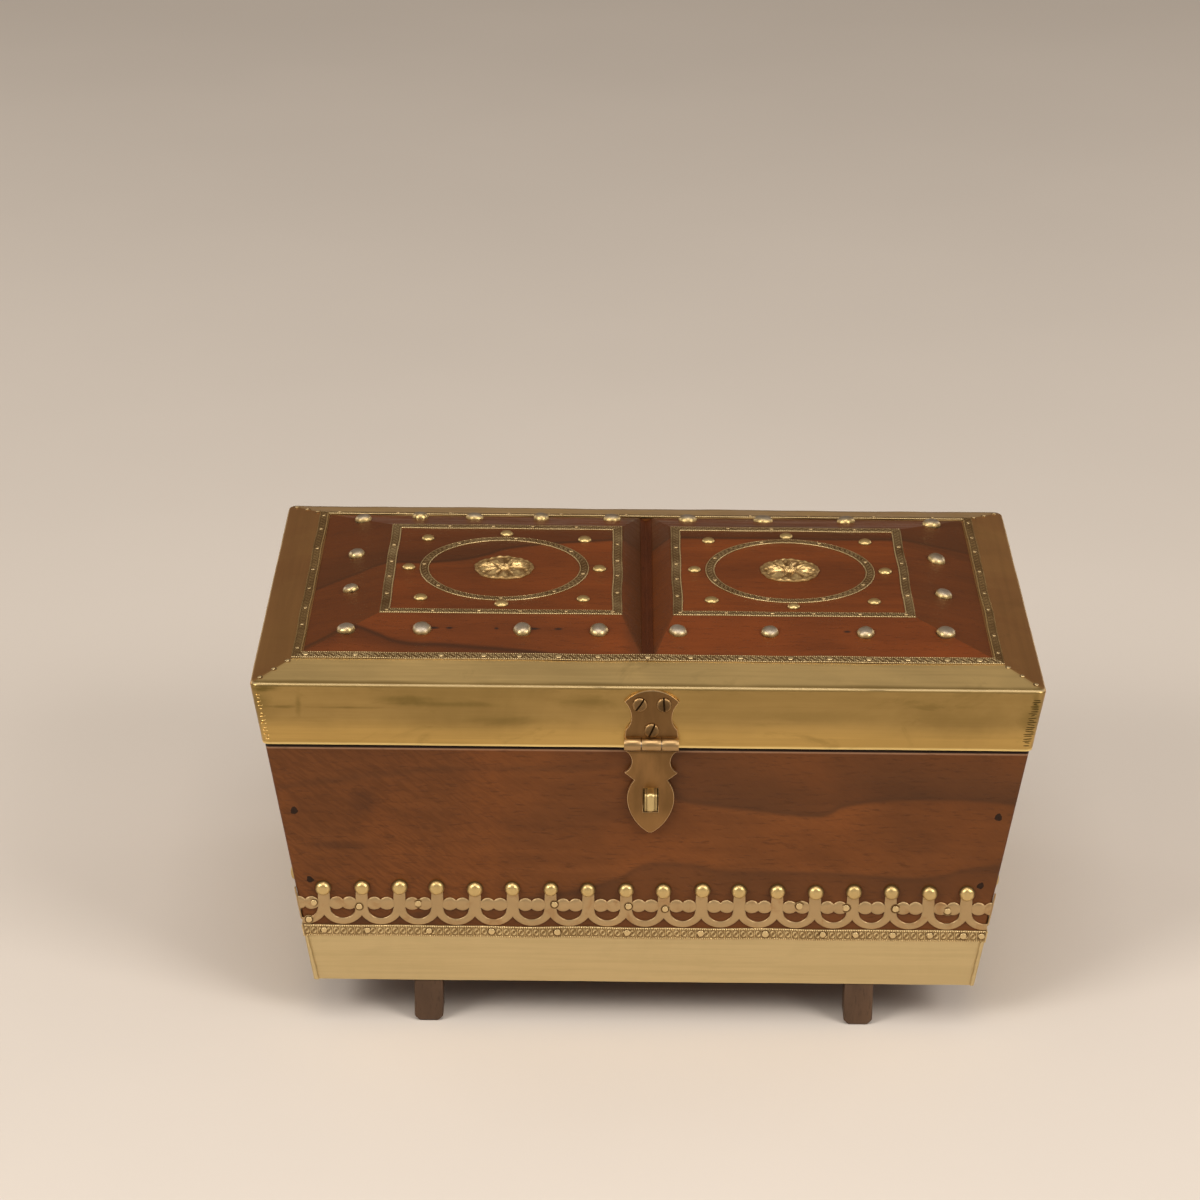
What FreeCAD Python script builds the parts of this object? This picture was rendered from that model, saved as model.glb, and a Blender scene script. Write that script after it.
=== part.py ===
import FreeCAD, Part
import math
import os

os.makedirs("parts", exist_ok=True)

# A small dowry chest: a wooden case whose ends lean outwards, on four feet, and
# a lid with two raised panels in a brass-clad frame. Pierced brass bands, dome
# nails and embossed strips trim it, and a hasp and staple close it.
# X runs along the chest, Y to its back and Z up. All sizes are in millimetres.

# Whole chest
chest_length = 305.0
chest_width = 190.5
ridge_height = 145.3
lid_depth = 25.1
seam_gap = 0.5
foot_height = 18.5
end_lean_deg = 9.76
lid_overhang = 1.25

# Boards of the case
board_thickness = 12.0
bottom_thickness = 8.0

# Feet and the nails that hold the boards together
foot_width = 11.3
foot_inset = 67.7
foot_corner = 2.2
foot_tenon = 6.0
foot_tenon_height = 8.0
board_nail_side = 2.4
board_nail_length = 30.0
board_nail_height_shares = (0.43, 0.72)

# Brass on the case
skirt_height = 19.5
skirt_sheet = 0.6
skirt_flange = 2.2
skirt_strip_width = 4.4
skirt_strip_thickness = 0.9
band_thickness = 0.6
band_lift = 0.3
tab_pitch = 14.75
tab_width = 4.65
scallop_radius = 9.0
scallop_width = 2.6
scallop_opening_radius = 5.0
bead_radius = 3.0
bead_height = 8.9
bead_offset_share = 1 / 6
crest_nail_height = 16.1
crest_nail_diameter = 5.8
crest_nail_rise = 2.7

# Frame of the lid: brass borders, and the rails below them
lid_sheet = 0.7
lid_corner_radius = 3.0
lid_fold_radius = 1.2
end_border = 18.9
long_border = 21.06
border_rise = 4.5
ledge_width = 6.0
ledge_thickness = 4.0
lid_strip_width = 4.0
lid_strip_thickness = 0.5

# Panels of the lid
panel_play = 0.3
panel_drop = 0.3
panel_edge = 5.0
panel_rise = 5.9
end_bevel = 27.75
long_bevel = 25.89
valley_width = 19.1
groove_width = 4.4
groove_drop = 0.3
muntin_width = 20.0
muntin_depth = 6.5

# Trim of the panels
frame_margin = 0.35
frame_width = 4.0
ring_gap = 9.35
ring_width = 3.75
panel_strip_thickness = 0.5
rosette_radius = 12.5
rosette_rise = 2.2
rosette_petals = 8
rosette_lobe_share = 0.06
rosette_tier_shares = ((1.0, 0.0), (1.0, 0.25), (0.62, 0.6), (0.20, 1.0))
bevel_nail_diameter = 7.5
bevel_nail_rise = 3.0
field_nail_diameter = 5.0
field_nail_rise = 1.6

# Places of the hand-driven nails. Along a row they are shares of the flat field
# of the left panel, negative, or the right one, out from the valley. Across, they
# are shares of the bevel from the panel's edge, and of the ring's gap for small ones.
front_row_shares = (-0.816, -0.409, -0.098, 0.024, 0.395, 0.784)
back_row_shares = (-0.886, -0.648, -0.358, -0.049, 0.082, 0.413, 0.773)
end_row_shares = (-0.371, 0.414)
front_row_bevel_share = 0.59
back_row_bevel_share = 0.275
end_row_bevel_share = 0.543
front_corner_bevel_shares = (0.57, 0.62)
back_corner_bevel_shares = (0.55, 0.51)
side_nail_gap_shares = (0.56, 0.61)
field_corner_inset = 11.5

# Hinges, let into the edges of the back boards
hinge_length = 38.0
hinge_inset = 62.5
hinge_barrel_radius = 2.5
hinge_pin_radius = 1.25
hinge_stand = 0.15
hinge_leaf_depth = 8.0
hinge_leaf_thickness = 1.2

# Hasp: plate on the lid, leaf that swings, screws
hasp_x = 1.6
hasp_plate_thickness = 1.5
hasp_barrel_radius = 2.6
hasp_pin_radius = 1.1
hasp_barrel_length = 20.9
hasp_middle_knuckle = 7.9
hasp_barrel_height = 2.4
plate_top_drop = 0.7
plate_corner_drop = 4.8
plate_waist_drop = 11.5
plate_shoulder_drop = 16.3
plate_half_width = 10.45
plate_waist_half = 7.75
plate_shoulder_half = 9.85
hasp_screw_radius = 2.85
hasp_screw_rise = 1.4
hasp_screw_slot = 0.7
hasp_screw_spacing = 9.3
hasp_screw_top_drop = 5.8
hasp_screw_low_drop = 16.5
hasp_screw_slot_degs = (-33.0, 4.0, -24.0)
leaf_top_half = 10.3
leaf_neck_half = 7.4
leaf_ear_half = 10.2
leaf_notch_half = 6.4
leaf_spade_half = 9.05
leaf_top_drop = 3.1
leaf_neck_drop = 7.8
leaf_ear_drop = 12.5
leaf_notch_drop = 15.6
leaf_spade_drop = 24.1
leaf_tip_drop = 37.8
leaf_slot_width = 5.65
leaf_slot_height = 10.05
leaf_slot_drop = 19.0
plate_curve_share = 0.25
leaf_belly_share = 0.10
leaf_cheek_share = 0.125
leaf_point_share = 0.14

# Staple on the case
staple_width = 4.95
staple_height = 8.0
staple_reach = 8.4
staple_lift = 0.6
staple_strap = 1.0
staple_corner = 2.5
staple_plate_width = 9.0
staple_plate_height = 16.0

# Clearances
pin_play = 0.05
knuckle_play = 0.3
barrel_play = 0.15
leaf_play = 0.1

# Sides of small round things, and of the arcs of the band
dome_tier_degs = (0.0, 38.0, 72.0)
dome_sides = 8
screw_sides = 12
barrel_sides = 16
pin_bore_sides = 12
ring_sides = 40
scallop_sides = 5
opening_sides = 6
lobe_sides = 3
bead_sides = 3

# Sizes worked out from the ones above
lean = math.tan(math.radians(end_lean_deg))
along_lean = 1.0 / math.cos(math.radians(end_lean_deg))
lid_bottom = ridge_height - lid_depth
case_top = lid_bottom - seam_gap
case_bottom = foot_height
half_width = chest_width / 2
case_half_width = half_width - lid_overhang
inner_half_width = case_half_width - board_thickness
end_slope = border_rise / end_border
long_slope = border_rise / long_border
window_half_length = chest_length / 2 - end_border
window_half_width = half_width - long_border
window_height = ridge_height + border_rise
panel_edge_height = window_height - panel_drop
field_height = panel_edge_height + panel_rise
ledge_top = panel_edge_height - panel_edge
ledge_bottom = ledge_top - ledge_thickness
panel_half_length = window_half_length - panel_play
panel_half_width = window_half_width - panel_play
field_in = valley_width / 2
field_out = panel_half_length - end_bevel
panel_centre = (field_in + field_out) / 2
field_half_length = (field_out - field_in) / 2
field_half_width = panel_half_width - long_bevel
frame_half_length = field_half_length - frame_margin
frame_half_width = field_half_width - frame_margin
ring_radius = min(frame_half_length, frame_half_width) - frame_width - ring_gap
hinge_x = chest_length / 2 - hinge_inset
foot_x = chest_length / 2 - foot_inset
apex_height = ridge_height + half_width
reach = 2 * chest_length
skirt_top = case_bottom + skirt_height
strip_top = skirt_top + skirt_strip_width
band_bottom = strip_top + band_lift
bead_u = tab_pitch * bead_offset_share
hinge_axis_y = case_half_width + hinge_stand
hinge_axis_z = (lid_bottom + case_top) / 2
hasp_axis_y = -(half_width + hasp_barrel_radius)
hasp_axis_z = lid_bottom + hasp_barrel_height
plate_top = ridge_height - plate_top_drop
staple_middle_z = hasp_axis_z - leaf_slot_drop - leaf_slot_height / 2 + staple_lift
staple_front = -(case_half_width + staple_reach)
hinge_back = hinge_axis_y + hinge_barrel_radius

# The frame's origin is on the floor, below the middle of all that stands out
middle_y = (staple_front + hinge_back) / 2


def vec(x, y, z):
    return FreeCAD.Vector(x, y, z)


def half_length(height, inset=0.0):
    """Half the chest's length at a height, moved in by a level distance."""
    return chest_length / 2 - (ridge_height - height) * lean - inset


def wire_of(points):
    return Part.makePolygon(points + points[:1])


def prism(points, push):
    """A flat outline of points, pushed along a vector."""
    return Part.Face(wire_of(points)).extrude(push)


def box(low, high):
    size = high - low
    return Part.makeBox(size.x, size.y, size.z, low)


def faceted(rings):
    """A closed solid through rings of points, flat at both ends."""
    faces = [Part.Face(wire_of(rings[0])), Part.Face(wire_of(rings[-1]))]
    for low, high in zip(rings, rings[1:]):
        for i in range(len(low)):
            j = (i + 1) % len(low)
            faces.append(Part.Face(wire_of([low[i], low[j], high[j], high[i]])))
    solid = Part.Solid(Part.Shell(faces))
    if solid.Volume < 0:
        solid.reverse()
    return solid


def ring_points(radius, height, sides):
    """Corners round the Z axis, half a step off the X axis."""
    points = []
    for i in range(sides):
        turn = 2 * math.pi * (i + 0.5) / sides
        points.append(vec(radius * math.cos(turn), radius * math.sin(turn), height))
    return points


def turned(profile, sides):
    """A faceted solid of revolution through (radius, height) pairs."""
    return faceted([ring_points(r, h, sides) for r, h in profile])


def dome(diameter, rise, sides=dome_sides):
    """A nail's head: tiers that follow a half round, flat below."""
    profile = []
    full = math.sin(math.radians(dome_tier_degs[-1]))
    for degrees in dome_tier_degs:
        angle = math.radians(degrees)
        profile.append((diameter / 2 * math.cos(angle), rise * math.sin(angle) / full))
    return turned(profile, sides)


def placed(shape, origin, u, w):
    """A shape built with u along, w up and its front to u x w, put in place."""
    n = u.cross(w)
    matrix = FreeCAD.Matrix(u.x, w.x, n.x, origin.x, u.y, w.y, n.y, origin.y,
                            u.z, w.z, n.z, origin.z, 0, 0, 0, 1)
    moved = shape.copy()
    moved.Placement = FreeCAD.Placement(matrix).multiply(moved.Placement)
    return moved


def seated(shape, point, up):
    """A shape whose Z axis is turned to a face's outward direction."""
    turn = FreeCAD.Placement(point, FreeCAD.Rotation(vec(0, 0, 1), up))
    moved = shape.copy()
    moved.Placement = turn.multiply(moved.Placement)
    return moved


def beyond(shape, point, normal):
    """What lies of a shape on the far side of a plane."""
    block = Part.makeBox(reach, reach, reach, vec(-reach / 2, -reach / 2, 0))
    return shape.common(seated(block, point, normal))


def rod_along_x(radius, x_from, x_to, y, z, sides):
    """A many-sided rod with its corners on the radius."""
    rod = turned(((radius, 0), (radius, x_to - x_from)), sides)
    return seated(rod, vec(x_from, y, z), vec(1, 0, 0))


def turned_pin(radius, x_from, x_to, y, z):
    """A round wire pin along X."""
    return Part.makeCylinder(radius, x_to - x_from, vec(x_from, y, z), vec(1, 0, 0))


def bore_along_x(radius, x_from, x_to, y, z, sides):
    """The space of a many-sided bore, with its flats on the radius."""
    return rod_along_x(radius / math.cos(math.pi / sides), x_from, x_to, y, z, sides)


def arc(points):
    return Part.Arc(*points).toShape()


def rounded_outline(corners):
    """A closed wire through (point, radius) corners, each turned by an arc."""
    edges = []
    starts = []
    ends = []
    count = len(corners)
    for i in range(count):
        here, radius = corners[i]
        before = (corners[i - 1][0] - here).normalize()
        after = (corners[(i + 1) % count][0] - here).normalize()
        if radius <= 0:
            starts.append(here)
            ends.append(here)
            edges.append(None)
            continue
        half_turn = before.getAngle(after) / 2
        setback = radius / math.tan(half_turn)
        inward = (before + after).normalize()
        middle = here + inward * (radius / math.sin(half_turn) - radius)
        starts.append(here + before * setback)
        ends.append(here + after * setback)
        edges.append(arc((starts[i], middle, ends[i])))
    path = []
    for i in range(count):
        if edges[i]:
            path.append(edges[i])
        path.append(Part.makeLine(ends[i], starts[(i + 1) % count]))
    return Part.Wire(path)


# Lid

def roof_corners(half, side_lean, slope, grow, fold):
    """One cross-section of the lid, grown on all sides, as (across, up, radius)."""
    out = grow * math.hypot(1, side_lean)
    up = grow * math.hypot(1, slope)
    lift = (up - out * slope) / (1 + side_lean * slope)
    ridge = half + out + lift * side_lean
    foot = half + out - lid_depth * side_lean
    apex = ridge_height + half * slope + up
    return ((-foot, lid_bottom, 0), (foot, lid_bottom, 0), (ridge, ridge_height + lift, fold),
            (0, apex, 0), (-ridge, ridge_height + lift, fold))


def lid_block(grow):
    """The closed outer form of the lid, grown by a distance: a hipped block.

    The wood below the brass has a sharp ridge, and the brass is rounded over it.
    """
    fold = lid_fold_radius + grow if grow >= 0 else 0
    ends = roof_corners(chest_length / 2, lean, end_slope, grow, fold)
    sides = roof_corners(half_width, 0.0, long_slope, grow, fold)
    deep = half_width + board_thickness
    wide = chest_length / 2 + board_thickness
    along = Part.Face(rounded_outline([(vec(x, -deep, z), r) for x, z, r in ends]))
    across = Part.Face(rounded_outline([(vec(-wide, y, z), r) for y, z, r in sides]))
    block = along.extrude(vec(0, 2 * deep, 0)).common(across.extrude(vec(2 * wide, 0, 0)))
    low = half_length(lid_bottom) + grow * along_lean
    high = half_length(apex_height) + grow * along_lean
    side = half_width + grow
    corners = [vec(-low, -side, lid_bottom), vec(low, -side, lid_bottom),
               vec(high, -side, apex_height), vec(-high, -side, apex_height)]
    hopper = prism(corners, vec(0, 2 * side, 0))
    upright = [e for e in hopper.Edges if abs(e.Vertexes[0].Z - e.Vertexes[1].Z) > lid_depth
               and abs(e.Vertexes[0].Y - e.Vertexes[1].Y) < seam_gap]
    return block.common(hopper.makeFillet(lid_corner_radius + grow, upright))


def mitre_normal(side_x, side_y):
    """Direction square to a corner's mitre, pointing towards the long side."""
    ridge = vec(side_x * chest_length / 2, side_y * half_width, ridge_height)
    low = vec(side_x * half_length(lid_bottom), side_y * half_width, lid_bottom)
    inner = vec(side_x * window_half_length, side_y * window_half_width, window_height)
    normal = (ridge - low).cross(inner - ridge).normalize()
    if normal.y * side_y < 0:
        normal = normal * -1
    return ridge, normal


def mitred(ring):
    """The four pieces of a ring cut at its mitres: front, back, left, right."""
    pieces = {}
    for name, side_y in (("front", -1), ("back", 1)):
        piece = beyond(ring, vec(0, 0, 0), vec(0, side_y, 0))
        for side_x in (-1, 1):
            ridge, normal = mitre_normal(side_x, side_y)
            piece = beyond(piece, ridge, normal)
        pieces[name] = piece
    for name, side_x in (("left", -1), ("right", 1)):
        piece = beyond(ring, vec(0, 0, 0), vec(side_x, 0, 0))
        for side_y in (-1, 1):
            ridge, normal = mitre_normal(side_x, side_y)
            piece = beyond(piece, ridge, normal * -1)
        pieces[name] = piece
    return pieces


def window(half_x, half_y, low, high):
    return box(vec(-half_x, -half_y, low), vec(half_x, half_y, high))


def lid_rails():
    """Wooden frame under the brass: walls, and a ledge that carries the panels."""
    wall = lid_sheet + board_thickness
    low = half_length(lid_bottom) - wall * along_lean
    high = half_length(ledge_bottom) - wall * along_lean
    side = half_width - wall
    cavity = prism([vec(-low, -side, lid_bottom), vec(low, -side, lid_bottom),
                    vec(high, -side, ledge_bottom), vec(-high, -side, ledge_bottom)],
                   vec(0, 2 * side, 0))
    rails = lid_block(-lid_sheet).cut(cavity)
    rails = rails.cut(window(window_half_length - ledge_width, window_half_width - ledge_width,
                             lid_bottom, apex_height))
    return rails.cut(window(window_half_length, window_half_width, ledge_top, apex_height))


def lid_brass():
    """Sheet folded over the ridge and down the sides of the frame."""
    shell = lid_block(0.0).cut(lid_block(-lid_sheet))
    return shell.cut(window(window_half_length, window_half_width, lid_bottom, apex_height))


def lid_strips():
    """Embossed strips on the brass, round the window."""
    skin = lid_block(lid_strip_thickness).cut(lid_block(0.0))
    outer = window(window_half_length + lid_strip_width, window_half_width + lid_strip_width,
                   ridge_height, apex_height)
    inner = window(window_half_length, window_half_width, ridge_height, apex_height)
    return skin.common(outer.cut(inner))


def rectangle(x_from, x_to, half_y, z):
    return [vec(x_from, -half_y, z), vec(x_to, -half_y, z),
            vec(x_to, half_y, z), vec(x_from, half_y, z)]


def lid_panel(side):
    """A raised and fielded panel, lying loose on the ledge."""
    inner = side * (groove_width / 2)
    outer = side * panel_half_length
    return faceted([rectangle(inner, outer, panel_half_width, ledge_top),
                    rectangle(inner, outer, panel_half_width, panel_edge_height),
                    rectangle(side * field_in, side * field_out, field_half_width, field_height)])


def lid_muntin():
    """The bar between the panels: a foot that carries them and a tongue."""
    tongue_top = panel_edge_height - groove_drop
    body = box(vec(-muntin_width / 2, -(window_half_width - ledge_width), ledge_top - muntin_depth),
               vec(muntin_width / 2, window_half_width - ledge_width, ledge_top))
    tongue = box(vec(-groove_width / 2, -window_half_width, ledge_top),
                 vec(groove_width / 2, window_half_width, tongue_top))
    return body.fuse(tongue).removeSplitter()


# Trim of the panels

def square_frame(side):
    """A flat frame of strip, just inside the edge of the field."""
    outer = vec(frame_half_length, frame_half_width, 0)
    inner = outer - vec(frame_width, frame_width, 0)
    low = vec(side * panel_centre, 0, field_height)
    high = low + vec(0, 0, panel_strip_thickness)
    return box(low - outer, high + outer).cut(box(low - inner, high + inner))


def ring_strip(side):
    outer = turned(((ring_radius, 0), (ring_radius, panel_strip_thickness)), ring_sides)
    inner_radius = ring_radius - ring_width
    inner = turned(((inner_radius, 0), (inner_radius, panel_strip_thickness)), ring_sides)
    return seated(outer.cut(inner), vec(side * panel_centre, 0, field_height), vec(0, 0, 1))


def rosette(side):
    """A pressed flower: a thin petalled rim that rises to a round boss."""
    rings = []
    for radius_share, rise_share in rosette_tier_shares:
        ring = []
        for i in range(2 * rosette_petals):
            turn = math.pi * i / rosette_petals
            radius = rosette_radius * radius_share * (1 - rosette_lobe_share * (i % 2))
            ring.append(vec(radius * math.cos(turn), radius * math.sin(turn),
                            rosette_rise * rise_share))
        rings.append(ring)
    return seated(faceted(rings), vec(side * panel_centre, 0, field_height), vec(0, 0, 1))


def bevel_nails():
    """Large dome nails: rows along the front, the back and the ends, and one
    on the hip at each corner, seated square to the bevel or to the hip."""
    head = dome(bevel_nail_diameter, bevel_nail_rise)
    heads = []
    for side_y, row, share in ((-1, front_row_shares, front_row_bevel_share),
                               (1, back_row_shares, back_row_bevel_share)):
        normal = vec(0, side_y * panel_rise, long_bevel)
        y = side_y * (panel_half_width - share * long_bevel)
        for place in row:
            x = math.copysign(field_in, place) + place * (field_out - field_in)
            point = vec(x, y, panel_edge_height + share * panel_rise)
            heads.append(seated(head, point, normal))
    for side_x in (-1, 1):
        normal = vec(side_x * panel_rise, 0, end_bevel)
        x = side_x * (panel_half_length - end_row_bevel_share * end_bevel)
        for place in end_row_shares:
            point = vec(x, place * field_half_width,
                        panel_edge_height + end_row_bevel_share * panel_rise)
            heads.append(seated(head, point, normal))
    for side_y, shares in ((-1, front_corner_bevel_shares), (1, back_corner_bevel_shares)):
        for side_x, share in zip((-1, 1), shares):
            point = vec(side_x * (panel_half_length - share * end_bevel),
                        side_y * (panel_half_width - share * long_bevel),
                        panel_edge_height + share * panel_rise)
            end_normal = vec(side_x * panel_rise, 0, end_bevel).normalize()
            long_normal = vec(0, side_y * panel_rise, long_bevel).normalize()
            heads.append(seated(head, point, end_normal + long_normal))
    return Part.makeCompound(heads)


def field_nails():
    """Small dome nails round each ring: four at its sides, four at its corners."""
    head = dome(field_nail_diameter, field_nail_rise)
    half_x = frame_half_length - frame_width
    half_y = frame_half_width - frame_width
    side_x = half_x - side_nail_gap_shares[0] * ring_gap
    side_y = half_y - side_nail_gap_shares[1] * ring_gap
    spots = [(-side_x, 0), (side_x, 0), (0, -side_y), (0, side_y)]
    for across in (-1, 1):
        for along in (-1, 1):
            spots.append((across * (half_x - field_corner_inset),
                          along * (half_y - field_corner_inset)))
    heads = []
    for side in (-1, 1):
        for x, y in spots:
            point = vec(side * panel_centre + x, y, field_height)
            heads.append(seated(head, point, vec(0, 0, 1)))
    return Part.makeCompound(heads)


# Case

def case_slab(low, high, out_x, out_y):
    """A slab of the case between two heights, grown outwards, as one block."""
    side = case_half_width + out_y
    half_low = half_length(low, lid_overhang - out_x * along_lean)
    half_high = half_length(high, lid_overhang - out_x * along_lean)
    return prism([vec(-half_low, -side, low), vec(half_low, -side, low),
                  vec(half_high, -side, high), vec(-half_high, -side, high)],
                 vec(0, 2 * side, 0))


def long_board(side):
    """Front or back board, the full length of the case."""
    slab = case_slab(case_bottom, case_top, 0.0, 0.0)
    inner = inner_half_width
    if side < 0:
        return slab.cut(box(vec(-reach, -inner, 0), vec(reach, reach, reach)))
    return slab.cut(box(vec(-reach, -reach, 0), vec(reach, inner, reach)))


def end_board(side):
    """Leaning end board, between the front and back boards."""
    inset = lid_overhang + board_thickness * along_lean
    low_out = side * half_length(case_bottom, lid_overhang)
    low_in = side * half_length(case_bottom, inset)
    high_out = side * half_length(case_top, lid_overhang)
    high_in = side * half_length(case_top, inset)
    side_y = -inner_half_width
    return prism([vec(low_in, side_y, case_bottom), vec(low_out, side_y, case_bottom),
                  vec(high_out, side_y, case_top), vec(high_in, side_y, case_top)],
                 vec(0, 2 * inner_half_width, 0))


def bottom_board():
    inset = lid_overhang + board_thickness * along_lean
    top = case_bottom + bottom_thickness
    low = half_length(case_bottom, inset)
    high = half_length(top, inset)
    side_y = -inner_half_width
    return prism([vec(-low, side_y, case_bottom), vec(low, side_y, case_bottom),
                  vec(high, side_y, top), vec(-high, side_y, top)],
                 vec(0, 2 * inner_half_width, 0))


def foot_tenon_block(side_x, side_y):
    x = side_x * foot_x
    y = side_y * (case_half_width - board_thickness / 2)
    half = foot_tenon / 2
    return box(vec(x - half, y - half, case_bottom),
               vec(x + half, y + half, case_bottom + foot_tenon_height))


def foot(side_x, side_y):
    """A block under the long board, its lower corners eased, with a tenon."""
    x = side_x * foot_x
    half = foot_width / 2
    front = min(side_y * case_half_width, side_y * inner_half_width)
    corners = [vec(x - half + foot_corner, front, 0), vec(x + half - foot_corner, front, 0),
               vec(x + half, front, foot_corner), vec(x + half, front, case_bottom),
               vec(x - half, front, case_bottom), vec(x - half, front, foot_corner)]
    block = prism(corners, vec(0, board_thickness, 0))
    return block.fuse(foot_tenon_block(side_x, side_y)).removeSplitter()


def board_nail(side_x, side_y, height_share):
    """A square nail, flush with the long board, into the end board's middle."""
    height = case_bottom + (case_top - case_bottom) * height_share
    x = side_x * half_length(height, lid_overhang + board_thickness * along_lean / 2)
    half = board_nail_side / 2
    y_out = side_y * case_half_width
    y_in = side_y * (case_half_width - board_nail_length)
    return box(vec(x - half, min(y_out, y_in), height - half),
               vec(x + half, max(y_out, y_in), height + half))


def board_nails():
    return [board_nail(side_x, side_y, share) for side_x in (-1, 1) for side_y in (-1, 1)
            for share in board_nail_height_shares]


# Brass on the case

def long_plate(side, low, high, thickness):
    """A sheet on the front or back board between two heights."""
    slab = case_slab(low, high, 0.0, thickness)
    face = case_half_width
    if side < 0:
        return slab.cut(box(vec(-reach, -face, 0), vec(reach, reach, reach)))
    return slab.cut(box(vec(-reach, -reach, 0), vec(reach, face, reach)))


def end_plate(side, low, high, thickness, cover):
    """A sheet on an end board, as wide as the case and what it covers."""
    skin = case_slab(low, high, thickness, cover).cut(case_slab(low, high, 0.0, cover))
    if side < 0:
        return skin.common(box(vec(-reach, -reach, 0), vec(0, reach, reach)))
    return skin.common(box(vec(0, -reach, 0), vec(reach, reach, reach)))


def end_skirt(side):
    """An end sheet of the skirt, folded round onto the front and the back."""
    outer = case_slab(case_bottom, skirt_top, skirt_sheet, 2 * skirt_sheet)
    inner = case_slab(case_bottom, skirt_top, 0.0, skirt_sheet)
    between = case_slab(case_bottom, skirt_top, -skirt_flange, 2 * skirt_sheet)
    ring = outer.cut(inner).cut(between)
    if side < 0:
        return ring.common(box(vec(-reach, -reach, 0), vec(0, reach, reach)))
    return ring.common(box(vec(0, -reach, 0), vec(reach, reach, reach)))


def arc_points(centre_u, centre_w, radius, start, end, steps):
    """Short chords that follow an arc, its first point left out."""
    points = []
    for i in range(1, steps + 1):
        angle = start + (end - start) * i / steps
        points.append((centre_u + radius * math.cos(angle), centre_w + radius * math.sin(angle)))
    return points


def opening_tip():
    """Where the opening's round lower edge meets the bead beside it."""
    opening_w = scallop_width + scallop_opening_radius
    gap = math.hypot(bead_u, bead_height - opening_w)
    along = (scallop_opening_radius ** 2 - bead_radius ** 2 + gap ** 2) / (2 * gap)
    away = math.sqrt(scallop_opening_radius ** 2 - along ** 2)
    du = bead_u / gap
    dw = (bead_height - opening_w) / gap
    return along * du + away * dw, opening_w + along * dw - away * du


def band_opening(centre):
    """One half-moon hole: a round lower edge under two bead lobes."""
    opening_w = scallop_width + scallop_opening_radius
    tip_u, tip_w = opening_tip()
    turn = math.atan2(tip_w - opening_w, tip_u)
    points = arc_points(centre, opening_w, scallop_opening_radius, math.pi - turn,
                        2 * math.pi + turn, opening_sides)
    dip = math.acos(-bead_u / bead_radius)
    rise = math.atan2(tip_w - bead_height, tip_u - bead_u)
    points += arc_points(centre + bead_u, bead_height, bead_radius, rise, -dip, lobe_sides)
    points += arc_points(centre - bead_u, bead_height, bead_radius, dip - math.pi,
                         -math.pi - rise, lobe_sides)
    return points


def band_face(tabs):
    """The pierced band, flat: scallops below, beads above, a tab at each nail."""
    half = tab_pitch / 2
    swing = math.asin(half / scallop_radius)
    centres = [tab + half for tab in tabs] + [tabs[0] - half]
    centres.sort()
    lower = [(centres[0] - half, scallop_radius * (1 - math.cos(swing)))]
    upper = []
    for centre in centres:
        lower += arc_points(centre, scallop_radius, scallop_radius, -math.pi / 2 - swing,
                            -math.pi / 2 + swing, scallop_sides)
    edge_u = half - tab_width / 2 - bead_u
    edge_turn = math.acos(edge_u / bead_radius)
    dip = math.acos(bead_u / bead_radius)
    edge_w = bead_height + bead_radius * math.sin(edge_turn)
    upper.append((centres[-1] + half, crest_nail_height))
    for centre in reversed(centres):
        upper.append((centre + half - tab_width / 2, crest_nail_height))
        upper.append((centre + half - tab_width / 2, edge_w))
        upper += arc_points(centre + bead_u, bead_height, bead_radius, edge_turn, math.pi - dip,
                            bead_sides)
        upper += arc_points(centre - bead_u, bead_height, bead_radius, dip, math.pi - edge_turn,
                            bead_sides)
        upper.append((centre - half + tab_width / 2, crest_nail_height))
    upper.append((centres[0] - half, crest_nail_height))
    outer = wire_of([vec(u, w, 0) for u, w in lower + upper])
    holes = [wire_of([vec(u, w, 0) for u, w in band_opening(c)]) for c in centres]
    return Part.makeFace([outer] + holes, "Part::FaceMakerBullseye")


def tab_places(span):
    """Nails along a face: as many as fit at the pitch, about its middle."""
    count = int(span / tab_pitch)
    return [(i - (count - 1) / 2) * tab_pitch for i in range(count)]


def end_frame(side):
    """Origin, along and up directions of an end face, from its band's bottom."""
    angle = math.radians(end_lean_deg)
    origin = vec(side * half_length(band_bottom, lid_overhang), 0, band_bottom)
    return origin, vec(0, side, 0), vec(side * math.sin(angle), 0, math.cos(angle))


def long_frame():
    return vec(0, -case_half_width, band_bottom), vec(1, 0, 0), vec(0, 0, 1)


nail_height = band_bottom + crest_nail_height
front_tabs = tab_places(2 * half_length(nail_height, lid_overhang))
end_tabs = tab_places(2 * case_half_width)


def front_band():
    """The front's band, trimmed to the leaning edges of the board."""
    sheet = band_face(front_tabs).extrude(vec(0, 0, band_thickness))
    trim = long_plate(-1, strip_top, nail_height + tab_pitch, band_thickness)
    return placed(sheet, *long_frame()).common(trim)


def end_band(side):
    """An end's band, as wide as the case with the front's band on it."""
    width = case_half_width + band_thickness
    sheet = band_face(end_tabs).extrude(vec(0, 0, band_thickness))
    trim = box(vec(-width, 0, 0), vec(width, 2 * tab_pitch, band_thickness))
    return placed(sheet.common(trim), *end_frame(side))


def crest_nails():
    """Dome nails over the tabs, on the front and both ends."""
    head = dome(crest_nail_diameter, crest_nail_rise)
    heads = []
    frames = [(front_tabs, long_frame()), (end_tabs, end_frame(-1)), (end_tabs, end_frame(1))]
    for tabs, frame in frames:
        for tab in tabs:
            spot = head.copy()
            spot.translate(vec(tab, crest_nail_height, band_thickness))
            heads.append(placed(spot, *frame))
    return Part.makeCompound(heads)


# Hinges

hinge_from = -hinge_length / 2
hinge_third = hinge_length / 3


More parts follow.
